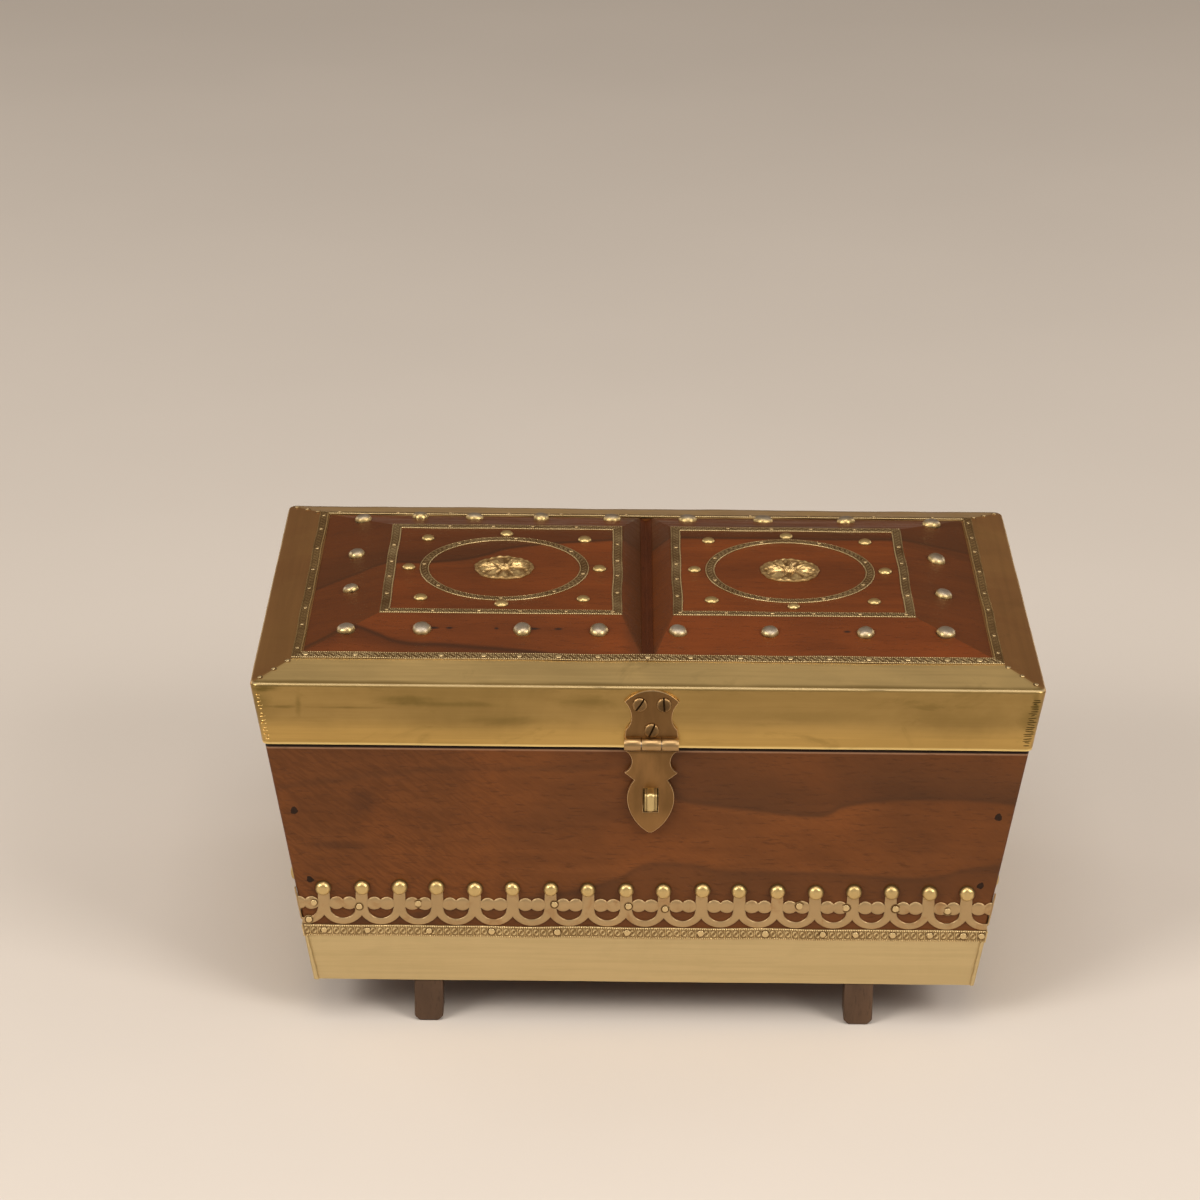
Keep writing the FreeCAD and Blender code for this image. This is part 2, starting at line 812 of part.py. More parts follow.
def hinge_knuckle(x_from, x_to):
    return rod_along_x(hinge_barrel_radius, x_from, x_to, hinge_axis_y, hinge_axis_z, barrel_sides)


def hinge_room(play):
    """The space round the whole barrel."""
    return bore_along_x(hinge_barrel_radius + play, hinge_from, -hinge_from,
                        hinge_axis_y, hinge_axis_z, barrel_sides)


def hinge_leaf(low, high, knuckles):
    """A leaf with its knuckles, bored for the pin, about x = 0."""
    leaf_from = hinge_axis_y - hinge_barrel_radius - hinge_leaf_depth
    leaf = box(vec(hinge_from, leaf_from, low), vec(-hinge_from, hinge_axis_y, high))
    leaf = leaf.cut(hinge_room(knuckle_play))
    for x_from, x_to in knuckles:
        neck = box(vec(x_from, leaf_from, low), vec(x_to, hinge_axis_y, high))
        leaf = leaf.fuse(neck).fuse(hinge_knuckle(x_from, x_to))
    bore = bore_along_x(hinge_pin_radius + pin_play, hinge_from, -hinge_from,
                        hinge_axis_y, hinge_axis_z, pin_bore_sides)
    return leaf.removeSplitter().cut(bore)


def case_leaf():
    """The case's leaf carries the two outer knuckles."""
    edge = hinge_third / 2 + knuckle_play / 2
    return hinge_leaf(case_top - hinge_leaf_thickness, case_top,
                      ((hinge_from, -edge), (edge, -hinge_from)))


def lid_leaf():
    """The lid's leaf carries the middle knuckle."""
    edge = hinge_third / 2 - knuckle_play / 2
    return hinge_leaf(lid_bottom, lid_bottom + hinge_leaf_thickness, ((-edge, edge),))


def hinge_pocket(low, high):
    """Room for a leaf and the barrel in the edge of a board, about x = 0."""
    leaf_from = hinge_axis_y - hinge_barrel_radius - hinge_leaf_depth
    pocket = box(vec(hinge_from, leaf_from, low), vec(-hinge_from, hinge_axis_y, high))
    return pocket.fuse(hinge_room(barrel_play))


def hinge_pin():
    return turned_pin(hinge_pin_radius, hinge_from, -hinge_from, hinge_axis_y, hinge_axis_z)


def shifted(shape, x):
    moved = shape.copy()
    moved.translate(vec(x, 0, 0))
    return moved


# Hasp

def mirrored_outline(right_half):
    """A wire from a right-hand half path; it starts and ends on the middle."""
    edges = []
    here = vec(*right_half[0][-1], 0)
    for step in right_half[1:]:
        points = [here] + [vec(*p, 0) for p in step]
        if len(points) == 2:
            edges.append(Part.makeLine(*points))
        else:
            edges.append(arc(points))
        here = points[-1]
    left = [edge.mirror(vec(0, 0, 0), vec(1, 0, 0)) for edge in edges]
    return Part.Wire(Part.sortEdges(edges + left)[0])


def hasp_sheet(wire, thickness):
    """A flat outline of the hasp, pushed out from the lid's brass."""
    sheet = Part.Face(wire).extrude(vec(0, 0, thickness))
    return placed(sheet, vec(hasp_x, -half_width, hasp_axis_z), vec(1, 0, 0), vec(0, 0, 1))


def hasp_pin():
    return turned_pin(hasp_pin_radius, hasp_x - hasp_half, hasp_x + hasp_half, hasp_axis_y, hasp_axis_z)


def hasp_rod(radius, x_from, x_to, sides):
    return rod_along_x(radius, hasp_x + x_from, hasp_x + x_to, hasp_axis_y, hasp_axis_z, sides)


def hasp_bore(radius, x_from, x_to, sides):
    return bore_along_x(radius, hasp_x + x_from, hasp_x + x_to, hasp_axis_y, hasp_axis_z, sides)


def bow(a, b, sag):
    """The middle point of an arc from a to b that bulges to its right by sag."""
    du = b[0] - a[0]
    dw = b[1] - a[1]
    span = math.hypot(du, dw)
    return ((a[0] + b[0]) / 2 + sag * dw / span, (a[1] + b[1]) / 2 - sag * du / span)


hasp_half = hasp_barrel_length / 2
hasp_middle = hasp_middle_knuckle / 2


def plate_outline():
    """The lid's plate: a round head, a waist, and shoulders at the barrel."""
    top = plate_top - hasp_axis_z
    corner = (plate_half_width, top - plate_corner_drop)
    waist = (plate_waist_half, top - plate_waist_drop)
    shoulder = (plate_shoulder_half, top - plate_shoulder_drop)
    head_radius = (plate_half_width ** 2 + plate_corner_drop ** 2) / (2 * plate_corner_drop)
    swing = math.asin(plate_half_width / head_radius) / 2
    head = (head_radius * math.sin(swing), top - head_radius * (1 - math.cos(swing)))
    dip = (plate_half_width - plate_waist_half) * plate_curve_share
    tuck = (plate_shoulder_half - plate_waist_half) * plate_curve_share
    return mirrored_outline([((0, top),), (head, corner), (bow(corner, waist, dip), waist),
                             (bow(waist, shoulder, tuck), shoulder), ((hasp_half, 0),), ((0, 0),)])


def hasp_screw_places():
    """The plate's screws: two in the head, one below, as (across, up)."""
    top = plate_top - hasp_axis_z
    high = top - hasp_screw_top_drop
    return ((-hasp_screw_spacing / 2, high), (hasp_screw_spacing / 2, high),
            (0.0, top - hasp_screw_low_drop))


def hasp_screw(across, up, slot_deg):
    """A slotted screw's low dome of a head, on the plate."""
    head = dome(2 * hasp_screw_radius, hasp_screw_rise, screw_sides)
    slot = box(vec(-reach, -hasp_screw_slot / 2, hasp_screw_rise / 2),
               vec(reach, hasp_screw_slot / 2, reach))
    slot.rotate(vec(0, 0, 0), vec(0, 0, 1), slot_deg)
    spot = vec(hasp_x + across, -half_width - hasp_plate_thickness, hasp_axis_z + up)
    return seated(head.cut(slot), spot, vec(0, -1, 0))


def hasp_plate():
    """Plate and its two outer knuckles, open for the middle one."""
    plate = hasp_sheet(plate_outline(), hasp_plate_thickness)
    edge = hasp_middle + knuckle_play / 2
    for x_from, x_to in ((-hasp_half, -edge), (edge, hasp_half)):
        plate = plate.fuse(hasp_rod(hasp_barrel_radius, x_from, x_to, barrel_sides))
    plate = plate.removeSplitter()
    plate = plate.cut(hasp_bore(hasp_barrel_radius + knuckle_play, -edge, edge, barrel_sides))
    return plate.cut(hasp_bore(hasp_pin_radius + pin_play, -hasp_half, hasp_half, pin_bore_sides))


def leaf_outline():
    """The swinging leaf: a waisted neck, two pointed ears and a spade."""
    top = (leaf_top_half, -leaf_top_drop)
    neck = (leaf_neck_half, -leaf_neck_drop)
    ear = (leaf_ear_half, -leaf_ear_drop)
    notch = (leaf_notch_half, -leaf_notch_drop)
    spade = (leaf_spade_half, -leaf_spade_drop)
    round_half = leaf_spade_half * leaf_point_share
    point = (round_half, -leaf_tip_drop + round_half * leaf_point_share * 2)
    tip = (0, -leaf_tip_drop)
    belly = (leaf_spade_drop - leaf_notch_drop) * leaf_belly_share
    cheek = (leaf_tip_drop - leaf_spade_drop) * leaf_cheek_share
    nose = round_half * leaf_point_share
    return mirrored_outline([((0, 0),), ((hasp_middle, 0),), ((hasp_middle, -leaf_top_drop),),
                             (top,), (neck, ear), (notch,), (bow(notch, spade, -belly), spade),
                             (bow(spade, point, -cheek), point), (bow(point, tip, -nose), tip)])


def hasp_leaf():
    """Leaf with the middle knuckle and the slot that passes the staple."""
    leaf = hasp_sheet(leaf_outline(), hasp_plate_thickness)
    leaf.translate(vec(0, -leaf_play, 0))
    edge = hasp_middle - knuckle_play / 2
    for x_from, x_to in ((-hasp_half, -edge), (edge, hasp_half)):
        leaf = leaf.cut(hasp_bore(hasp_barrel_radius + knuckle_play, x_from, x_to, barrel_sides))
    leaf = leaf.fuse(hasp_rod(hasp_barrel_radius - leaf_play, -edge, edge, barrel_sides))
    leaf = leaf.removeSplitter()
    leaf = leaf.cut(hasp_bore(hasp_pin_radius + pin_play, -hasp_half, hasp_half, pin_bore_sides))
    slot_top = hasp_axis_z - leaf_slot_drop
    return leaf.cut(box(vec(hasp_x - leaf_slot_width / 2, -reach, slot_top - leaf_slot_height),
                        vec(hasp_x + leaf_slot_width / 2, reach, slot_top)))


def staple():
    """A strap bent to a loop, standing on its own small plate."""
    face = -case_half_width
    high = staple_middle_z + staple_height / 2
    low = staple_middle_z - staple_height / 2
    x_from = hasp_x - staple_width / 2
    outer = [(vec(x_from, staple_front, low), staple_corner),
             (vec(x_from, staple_front, high), staple_corner),
             (vec(x_from, face, high), 0), (vec(x_from, face, low), 0)]
    front = staple_front + staple_strap
    back = face - staple_strap
    bend = staple_corner - staple_strap
    inner = [(vec(x_from, front, low + staple_strap), bend),
             (vec(x_from, front, high - staple_strap), bend),
             (vec(x_from, back, high - staple_strap), 0),
             (vec(x_from, back, low + staple_strap), 0)]
    across = vec(staple_width, 0, 0)
    loop = Part.Face(rounded_outline(outer)).extrude(across)
    plate_half = staple_plate_height / 2
    plate = box(vec(hasp_x - staple_plate_width / 2, face - staple_strap, staple_middle_z - plate_half),
                vec(hasp_x + staple_plate_width / 2, face, staple_middle_z + plate_half))
    body = loop.fuse(plate).removeSplitter()
    return body.cut(Part.Face(rounded_outline(inner)).extrude(across))


# Putting it together

nodes = {}

for side_x, side_y, name in ((-1, -1, "foot_front_left"), (1, -1, "foot_front_right"),
                             (-1, 1, "foot_back_left"), (1, 1, "foot_back_right")):
    nodes[name] = foot(side_x, side_y)

front_board = long_board(-1)
back_board = long_board(1)
left_end = end_board(-1)
right_end = end_board(1)
all_board_nails = Part.makeCompound(board_nails())
for side_x in (-1, 1):
    front_board = front_board.cut(foot_tenon_block(side_x, -1))
    back_board = back_board.cut(foot_tenon_block(side_x, 1))
front_board = front_board.cut(all_board_nails)
back_board = back_board.cut(all_board_nails)

rails = mitred(lid_rails())
brass = mitred(lid_brass())
strips = mitred(lid_strips())
for side, name in ((-1, "left"), (1, "right")):
    x = side * hinge_x
    case_pocket = hinge_pocket(case_top - hinge_leaf_thickness, case_top)
    lid_pocket = hinge_pocket(lid_bottom, lid_bottom + hinge_leaf_thickness)
    back_board = back_board.cut(shifted(case_pocket, x))
    rails["back"] = rails["back"].cut(shifted(lid_pocket, x))
    brass["back"] = brass["back"].cut(shifted(hinge_room(barrel_play), x))
    nodes["hinge_case_leaf_" + name] = shifted(case_leaf(), x)
    nodes["hinge_lid_leaf_" + name] = shifted(lid_leaf(), x)
    nodes["hinge_pin_" + name] = shifted(hinge_pin(), x)

nodes["front_board"] = front_board
nodes["back_board"] = back_board
nodes["left_end_board"] = left_end.cut(all_board_nails)
nodes["right_end_board"] = right_end.cut(all_board_nails)
nodes["bottom_board"] = bottom_board()
nodes["board_nails"] = all_board_nails

for side, name in ((-1, "front"), (1, "back")):
    nodes["skirt_" + name] = long_plate(side, case_bottom, skirt_top, skirt_sheet)
    nodes["skirt_strip_" + name] = long_plate(side, skirt_top, strip_top, skirt_strip_thickness)
for side, name in ((-1, "left"), (1, "right")):
    nodes["skirt_" + name] = end_skirt(side)
    nodes["skirt_strip_" + name] = end_plate(side, skirt_top, strip_top, skirt_strip_thickness,
                                             skirt_strip_thickness)
    nodes["band_" + name] = end_band(side)
nodes["band_front"] = front_band()
nodes["crest_nails"] = crest_nails()

for name in ("front", "back", "left", "right"):
    nodes["lid_rail_" + name] = rails[name]
    nodes["lid_brass_" + name] = brass[name]
    nodes["lid_strip_" + name] = strips[name]
nodes["lid_muntin"] = lid_muntin()
for side, name in ((-1, "left"), (1, "right")):
    nodes["lid_panel_" + name] = lid_panel(side)
    nodes["square_frame_" + name] = square_frame(side)
    nodes["ring_strip_" + name] = ring_strip(side)
    nodes["rosette_" + name] = rosette(side)
nodes["bevel_nails"] = bevel_nails()
nodes["field_nails"] = field_nails()

nodes["hasp_plate"] = hasp_plate()
nodes["hasp_leaf"] = hasp_leaf()
nodes["hasp_pin"] = hasp_pin()
screws = [hasp_screw(across, up, slot_deg)
          for (across, up), slot_deg in zip(hasp_screw_places(), hasp_screw_slot_degs)]
nodes["hasp_screws"] = Part.makeCompound(screws)
nodes["staple"] = staple()

for name, shape in nodes.items():
    solids = shape.Solids
    whole = Part.makeCompound(solids) if len(solids) > 1 else solids[0]
    whole.translate(vec(0, -middle_y, 0))
    whole.exportStep("parts/" + name + ".step")
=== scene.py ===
import math

import bpy
import numpy as np
from bpy.props import FloatProperty, FloatVectorProperty, IntProperty, PointerProperty
from mathutils import Matrix, Vector


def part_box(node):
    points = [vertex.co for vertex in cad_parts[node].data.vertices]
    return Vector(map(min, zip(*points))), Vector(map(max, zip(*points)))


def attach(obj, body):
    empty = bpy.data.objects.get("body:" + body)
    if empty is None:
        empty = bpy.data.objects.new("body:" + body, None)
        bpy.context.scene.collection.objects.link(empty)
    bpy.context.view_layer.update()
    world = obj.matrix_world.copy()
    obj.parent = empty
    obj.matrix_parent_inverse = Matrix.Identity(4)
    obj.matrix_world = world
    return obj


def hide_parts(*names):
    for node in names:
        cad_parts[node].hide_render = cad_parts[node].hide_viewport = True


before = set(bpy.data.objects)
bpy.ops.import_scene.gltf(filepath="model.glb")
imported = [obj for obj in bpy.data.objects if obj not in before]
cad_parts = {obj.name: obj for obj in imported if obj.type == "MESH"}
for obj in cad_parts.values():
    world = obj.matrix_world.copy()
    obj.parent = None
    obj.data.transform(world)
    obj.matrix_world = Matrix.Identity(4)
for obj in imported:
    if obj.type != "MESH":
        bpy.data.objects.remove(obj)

bl_info = {
    "name": "Damchiya chest",
    "version": (1, 0, 0),
    "blender": (4, 5, 0),
    "location": "View3D > Sidebar > Chest",
    "description": "Dresses a small brass-trimmed dowry chest in wood, sheet brass and nails",
    "category": "Object",
}

MM = 0.001
TAU = 2 * math.pi
UP = np.array([0.0, 0, 1])


# Places that the frame gives

def low(node):
    return np.array(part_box(node)[0])


def high(node):
    return np.array(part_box(node)[1])


def centre_of(node):
    return (low(node) + high(node)) / 2


CASE_FRONT = float(low("front_board")[1])
CASE_BACK = float(high("back_board")[1])
CASE_BOTTOM = float(low("front_board")[2])
CASE_TOP = float(high("front_board")[2])
CASE_HALF_TOP = float(high("front_board")[0])
INNER_FRONT = float(high("front_board")[1])
INNER_BACK = float(low("back_board")[1])
STRIP_LOW = float(low("skirt_strip_front")[2])
STRIP_HIGH = float(high("skirt_strip_front")[2])
LEAN = (CASE_HALF_TOP - float(high("skirt_front")[0])) / (CASE_TOP - STRIP_LOW)
BAND_LOW = float(low("band_front")[2]) - 0.17 * MM
FIELD_TOP = float(low("square_frame_left")[2])
PANEL_RISE = 5.9 * MM
PANEL_EDGE_TOP = FIELD_TOP - PANEL_RISE
LID_FRONT = float(low("lid_brass_front")[1])
LID_BACK = float(high("lid_brass_back")[1])
LID_BOTTOM = float(low("lid_brass_front")[2])
LID_HALF = float(high("lid_brass_right")[0])
LID_HALF_WIDE = (LID_BACK - LID_FRONT) / 2
LID_MIDDLE = (LID_BACK + LID_FRONT) / 2
WINDOW_TOP = float(high("lid_brass_front")[2])
SLOPE_END, SLOPE_LONG, SLOPE_RISE = 18.9 * MM, 21.06 * MM, 4.5 * MM
RIDGE = WINDOW_TOP - SLOPE_RISE
HASP_X, HASP_Y, HASP_Z = (float(v) for v in centre_of("hasp_pin"))
HASP_HALF = float(high("hasp_pin")[0]) - HASP_X


def case_half(z):
    """Half the length of the case at a height: the ends lean outwards evenly."""
    return CASE_HALF_TOP - (CASE_TOP - z) * LEAN


# Sizes and colours that can be changed

def length(name, description, millimetres):
    return FloatProperty(name=name, description=description, default=millimetres * MM, unit="LENGTH")


def tint(name, description, *default):
    return FloatVectorProperty(name=name, description=description, subtype="COLOR", size=3, default=default)


class ChestSizes(bpy.types.PropertyGroup):
    """Sizes of the trim, in metres. The defaults are written in millimetres."""

    tab_pitch: length("Tab pitch", "Distance between two nails of a band", 14.75)
    tab_width: length("Tab width", "Width of the tab under a nail", 4.3)
    scallop_radius: length("Scallop radius", "Outer radius of a scallop", 9.0)
    scallop_width: length("Scallop width", "Brass below an opening", 2.6)
    opening_radius: length("Opening radius", "Radius of the half-moon holes", 5.0)
    bead_radius: length("Bead radius", "Radius of a round lobe", 3.0)
    bead_height: length("Bead height", "Lobes' centres above the band's foot", 8.9)
    nail_height: length("Nail height", "Nails' centres above the band's foot", 16.1)
    band_thickness: length("Band thickness", "Thickness of the band's sheet", 0.6)
    crest_nail: length("Crest nail", "Diameter of the nails above the bands", 6.1)
    crest_nail_rise: length("Crest nail rise", "Height of those nails' domes", 2.3)
    bevel_nail: length("Bevel nail", "Diameter of the large nails on the lid", 7.2)
    bevel_nail_rise: length("Bevel nail rise", "Height of the large domes", 2.6)
    field_nail: length("Field nail", "Diameter of the small nails on the lid", 5.4)
    field_nail_rise: length("Field nail rise", "Height of the small domes", 1.6)
    tack: length("Tack", "Diameter of the pins that hold the strips", 2.3)
    ring_radius: length("Ring radius", "Outer radius of a round strip", 34.3)
    ring_width: length("Ring width", "Width of a round strip", 3.75)
    frame_width: length("Frame width", "Width of the square frames' strips", 4.0)
    motif_pitch: length("Motif pitch", "Length of one embossed flower", 2.9)
    rosette_radius: length("Rosette radius", "Radius of a rosette", 12.5)
    seam_pitch: length("Seam pitch", "Distance of the folds down the lid's corners", 0.95)
    petals: IntProperty(name="Petals", description="Petals of a rosette", default=9, min=3, max=24)


class ChestFinishes(bpy.types.PropertyGroup):
    """Colours of the woods and metals."""

    case_wood: tint("Case wood", "Middle colour of the case's boards", 0.126, 0.0415, 0.0104)
    panel_wood: tint("Panel wood", "Middle colour of the panels", 0.121, 0.0285, 0.0048)
    foot_wood: tint("Foot wood", "Colour of the feet", 0.085, 0.048, 0.028)
    sheet_brass: tint("Sheet brass", "Clean colour of the sheets", 0.425, 0.280, 0.099)
    skirt_brass: tint("Skirt brass", "Pale colour of the skirt's sheets", 0.63, 0.485, 0.25)
    tarnish: tint("Tarnish", "Dulled colour of the sheets", 0.235, 0.150, 0.046)
    band_brass: tint("Band brass", "Colour of the pierced bands", 0.44, 0.305, 0.155)
    strip_brass: tint("Strip brass", "Raised parts of the strips", 0.68, 0.51, 0.26)
    nail_brass: tint("Nail brass", "Colour of the small nails", 0.62, 0.45, 0.195)
    nail_silver: tint("Nail silver", "Worn tops of the large nails", 0.40, 0.34, 0.275)
    hasp_bronze: tint("Hasp bronze", "Dark colour of the hasp", 0.219, 0.119, 0.0445)
    floor: tint("Floor", "Colour of the floor", 0.625, 0.566, 0.508)


def sizes():
    return bpy.context.scene.chest_sizes


def finishes():
    return bpy.context.scene.chest_finishes


# Surfaces worked out as arrays

def volume(points, quads):
    """Six times the volume between the quads and the origin: below zero where the quads
    point inwards."""
    a, b, c, d = (points[quads[:, i]] for i in range(4))
    return (a * (np.cross(b, c) + np.cross(c, d))).sum()


def surface(name, rings, loop=False, crease=35.0, **values):
    """A mesh of m closed tubes at once. rings has the shape (m, k, n, 3): each tube is k
    rings of n points, capped at both ends, or joined end to end as a loop. Further values
    (m, k, n) are kept per point, under their own names."""
    rings = np.asarray(rings, float)
    if rings.ndim == 3:
        rings = rings[None]
    m, k, n = rings.shape[:3]
    points = rings.reshape(-1, 3)
    index = np.arange(m * k * n).reshape(m, k, n)
    here, there = (index, np.roll(index, -1, 1)) if loop else (index[:, :-1], index[:, 1:])
    quads = np.stack([here, np.roll(here, -1, 2), np.roll(there, -1, 2), there], -1).reshape(-1, 4)
    caps = np.zeros((0, n), int) if loop else np.concatenate([index[:, 0, ::-1], index[:, -1]])
    if volume(points, quads) < 0:
        quads, caps = quads[:, ::-1], caps[:, ::-1]
    corners = np.concatenate([quads.ravel(), caps.ravel()]).astype(np.int32)
    totals = np.concatenate([np.full(len(quads), 4), np.full(len(caps), n)])
    starts = np.concatenate([[0], np.cumsum(totals)[:-1]]).astype(np.int32)
    mesh = bpy.data.meshes.new(name)
    mesh.vertices.add(len(points))
    mesh.vertices.foreach_set("co", points.astype(np.float32).ravel())
    mesh.loops.add(len(corners))
    mesh.loops.foreach_set("vertex_index", corners)
    mesh.polygons.add(len(totals))
    mesh.polygons.foreach_set("loop_start", starts)
    for key, value in values.items():
        keep_value(mesh, key, np.broadcast_to(value, (m, k, n)))
    mesh.update(calc_edges=True)
    smooth(mesh, crease)
    return mesh


def keep_value(mesh, key, field):
    """Keeps a number for each point of a mesh, for its material."""
    flat = np.ascontiguousarray(field, np.float32).ravel()
    mesh.attributes.new(key, "FLOAT", "POINT").data.foreach_set("value", flat)


def smooth(mesh, crease):
    """Shades a mesh smooth, but for edges sharper than the crease, in degrees."""
    mesh.polygons.foreach_set("use_smooth", np.ones(len(mesh.polygons), bool))
    mesh.set_sharp_from_angle(angle=math.radians(crease))


def read(items, field):
    """A field of three numbers for each item, as rows."""
    values = np.zeros(len(items) * 3)
    items.foreach_get(field, values)
    return values.reshape(-1, 3)


def piece(name, mesh, finish, body, slot, *stands_for):
    """The mesh as an object that rides on a body, in place of CAD nodes."""
    thing = bpy.data.objects.new(name, mesh)
    bpy.context.scene.collection.objects.link(thing)
    mesh.materials.append(finish_of(finish))
    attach(thing, body)
    if stands_for:
        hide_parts(*stands_for)
    return thing


def add(name, rings, finish, body, slot, *stands_for, **values):
    """A piece whose mesh is a surface of rings."""
    return piece(name, surface(name, rings, **values), finish, body, slot, *stands_for)


def rounded(thing, width, segments=3):
    """Eases the edges of a piece with a Bevel modifier."""
    bevel = thing.modifiers.new("Eased edges", "BEVEL")
    bevel.width = width
    bevel.segments = segments
    bevel.limit_method = "ANGLE"
    bevel.angle_limit = math.radians(30)


def dress(finish, *nodes):
    """Gives CAD nodes a material and leaves their meshes alone."""
    for node in nodes:
        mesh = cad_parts[node].data
        mesh.materials.clear()
        mesh.materials.append(finish_of(finish))


def block(low_corner, high_corner, z_from, z_to):
    """Two rings, front and back, of an upright block between two corners."""
    (x0, y0), (x1, y1) = low_corner[:2], high_corner[:2]
    return [[(x0, y, z_from), (x1, y, z_from), (x1, y, z_to), (x0, y, z_to)] for y in (y0, y1)]


def unit(rows):
    """Each row divided by its length."""
    return rows / np.linalg.norm(rows, axis=-1, keepdims=True)


def face(origin, along, up):
    """A flat place to build on: its origin, along, up and outward directions."""
    along, up = unit(np.array(along, float)), unit(np.array(up, float))
    return np.array(origin, float), along, up, np.cross(along, up)


def on_face(place, u, w, h):
    """Points at u along, w up and h out of a face."""
    origin, along, up, out = place
    u, w, h = np.broadcast_arrays(u, w, h)
    return origin + u[..., None] * along + w[..., None] * up + h[..., None] * out


def front_face(z, x=0.0, y=CASE_FRONT):
    return face((x, y, z), (1, 0, 0), (0, 0, 1))


def back_face(z):
    return face((0, CASE_BACK, z), (-1, 0, 0), (0, 0, 1))


def end_face(side, z):
    origin = (side * case_half(z), (CASE_FRONT + CASE_BACK) / 2, z)
    return face(origin, (0, side, 0), (side * LEAN, 0, 1))


def rough_turns(count, spread, seed):
    """The same small uneven turns and sizes each time, one set per nail."""
    return np.random.default_rng(seed).normal(0, spread, (count, 4)).clip(-2 * spread, 2 * spread)


# Materials

class Paint:
    """A node material: short calls that add a node and link its inputs. Lengths are in
    metres, and a share or a field goes from 0 to 1."""

    def __init__(self, name, **base):
        self.material = bpy.data.materials.new(name)
        self.material.use_nodes = True
        self.tree = self.material.node_tree
        self.shader = self.tree.nodes["Principled BSDF"]
        coordinates = self.node("ShaderNodeTexCoord")
        self.place, self.facing = coordinates.outputs["Object"], coordinates.outputs["Normal"]
        for key, value in base.items():
            self.shader.inputs[key.replace("_", " ")].default_value = value

    def fill(self, socket, value):
        """Links a socket to another, or gives it a number, a vector or a colour."""
        if isinstance(value, bpy.types.NodeSocket):
            self.tree.links.new(value, socket)
        elif socket.type == "RGBA":
            socket.default_value = (*value[:3], 1)
        else:
            socket.default_value = value

    def node(self, kind, inputs=None, **settings):
        made = self.tree.nodes.new(kind)
        for key, value in settings.items():
            setattr(made, key, value)
        for key, value in (inputs or {}).items():
            self.fill(made.inputs[key], value)
        return made

    def sums(self, operation, *values):
        return self.node("ShaderNodeMath", dict(enumerate(values)), operation=operation).outputs[0]

    def plus(self, a, b):
        return self.sums("ADD", a, b)

    def less(self, a, b):
        return self.sums("SUBTRACT", a, b)

    def times(self, a, b):
        return self.sums("MULTIPLY", a, b)

    def apart(self, a, b):
        """How far two values are apart."""
        return self.sums("ABSOLUTE", self.less(a, b))

    def stirred(self, value, field, size):
        """A value moved up or down by at most half the size, as a field says."""
        return self.plus(value, self.times(self.less(field, 0.5), size))

    def spread(self, value, from_low, from_high, to_low=0.0, to_high=1.0):
        """Goes smoothly from to_low to to_high while the value goes from from_low to from_high."""
        ends = dict(enumerate((value, from_low, from_high, to_low, to_high)))
        return self.node("ShaderNodeMapRange", ends, interpolation_type="SMOOTHSTEP").outputs[0]

    def mapped(self, scale=(1, 1, 1), turn=(0, 0, 0), shift=(0, 0, 0), vector=None):
        return self.node("ShaderNodeMapping", {"Vector": vector or self.place, "Scale": scale,
                                               "Rotation": turn, "Location": shift}).outputs[0]

    def noise(self, vector, scale, detail=3.0, rough=0.5, twist=0.0):
        return self.node("ShaderNodeTexNoise", {"Vector": vector, "Scale": scale, "Detail": detail,
                                                "Roughness": rough, "Distortion": twist}).outputs[0]

    def cloud(self, scale, detail=3.0, rough=0.5, twist=0.0):
        """Noise of the same scale all ways."""
        return self.noise(self.place, scale, detail, rough, twist)

    def grained(self, scale, detail=3.0, rough=0.5, twist=0.0, **place):
        """Noise drawn out by a scale on X, Y and Z."""
        return self.noise(self.mapped(scale, **place), 1.0, detail, rough, twist)

    def distance(self, centre, half):
        """Distance from a centre, with the half sizes on X, Y and Z as the unit."""
        near = self.mapped([1 / h for h in half], shift=[-c / h for c, h in zip(centre, half)])
        return self.node("ShaderNodeVectorMath", {0: near}, operation="LENGTH").outputs["Value"]

    def mix(self, share, a, b):
        return self.node("ShaderNodeMix", {0: share, 6: a, 7: b}, data_type="RGBA").outputs[2]

    def part(self, vector, axis):
        return self.node("ShaderNodeSeparateXYZ", {0: vector}).outputs[axis]

    def line_height(self, along, points):
        """The height of a smooth line through points, given in millimetres, where along is
        the place on their first axis."""
        xs, ys = (np.array(v, float) for v in zip(*points))
        made = self.node("ShaderNodeFloatCurve")
        curve = made.mapping.curves[0]
        spots = np.stack([(xs - xs[0]) / (xs[-1] - xs[0]), (ys - ys.min()) / np.ptp(ys)], -1)
        for spot in spots[1:-1]:
            curve.points.new(*spot)
        curve.points[0].location, curve.points[-1].location = spots[0], spots[-1]
        made.mapping.update()
        ends = {"Value": along, "From Min": xs[0] * MM, "From Max": xs[-1] * MM}
        self.fill(made.inputs["Value"], self.node("ShaderNodeMapRange", ends).outputs[0])
        return self.sums("MULTIPLY_ADD", made.outputs[0], np.ptp(ys) * MM, ys.min() * MM)

    def value(self, name):
        """A number that the mesh keeps for each point."""
        return self.node("ShaderNodeAttribute", attribute_name=name).outputs["Fac"]

    def bump(self, height, depth, under=None):
        """Adds a bump of a field times a depth, over another bump."""
        inputs = {"Height": height, "Strength": 1.0, "Distance": depth}
        if under is not None:
            inputs["Normal"] = under
        made = self.node("ShaderNodeBump", inputs)
        self.fill(self.shader.inputs["Normal"], made.outputs[0])
        return made.outputs[0]

    def coat(self, colour, roughness=None):
        """Gives the shader its colour and, where one is drawn, its roughness."""
        self.fill(self.shader.inputs["Base Color"], colour)
        if roughness is not None:
            self.fill(self.shader.inputs["Roughness"], roughness)
        return self.material


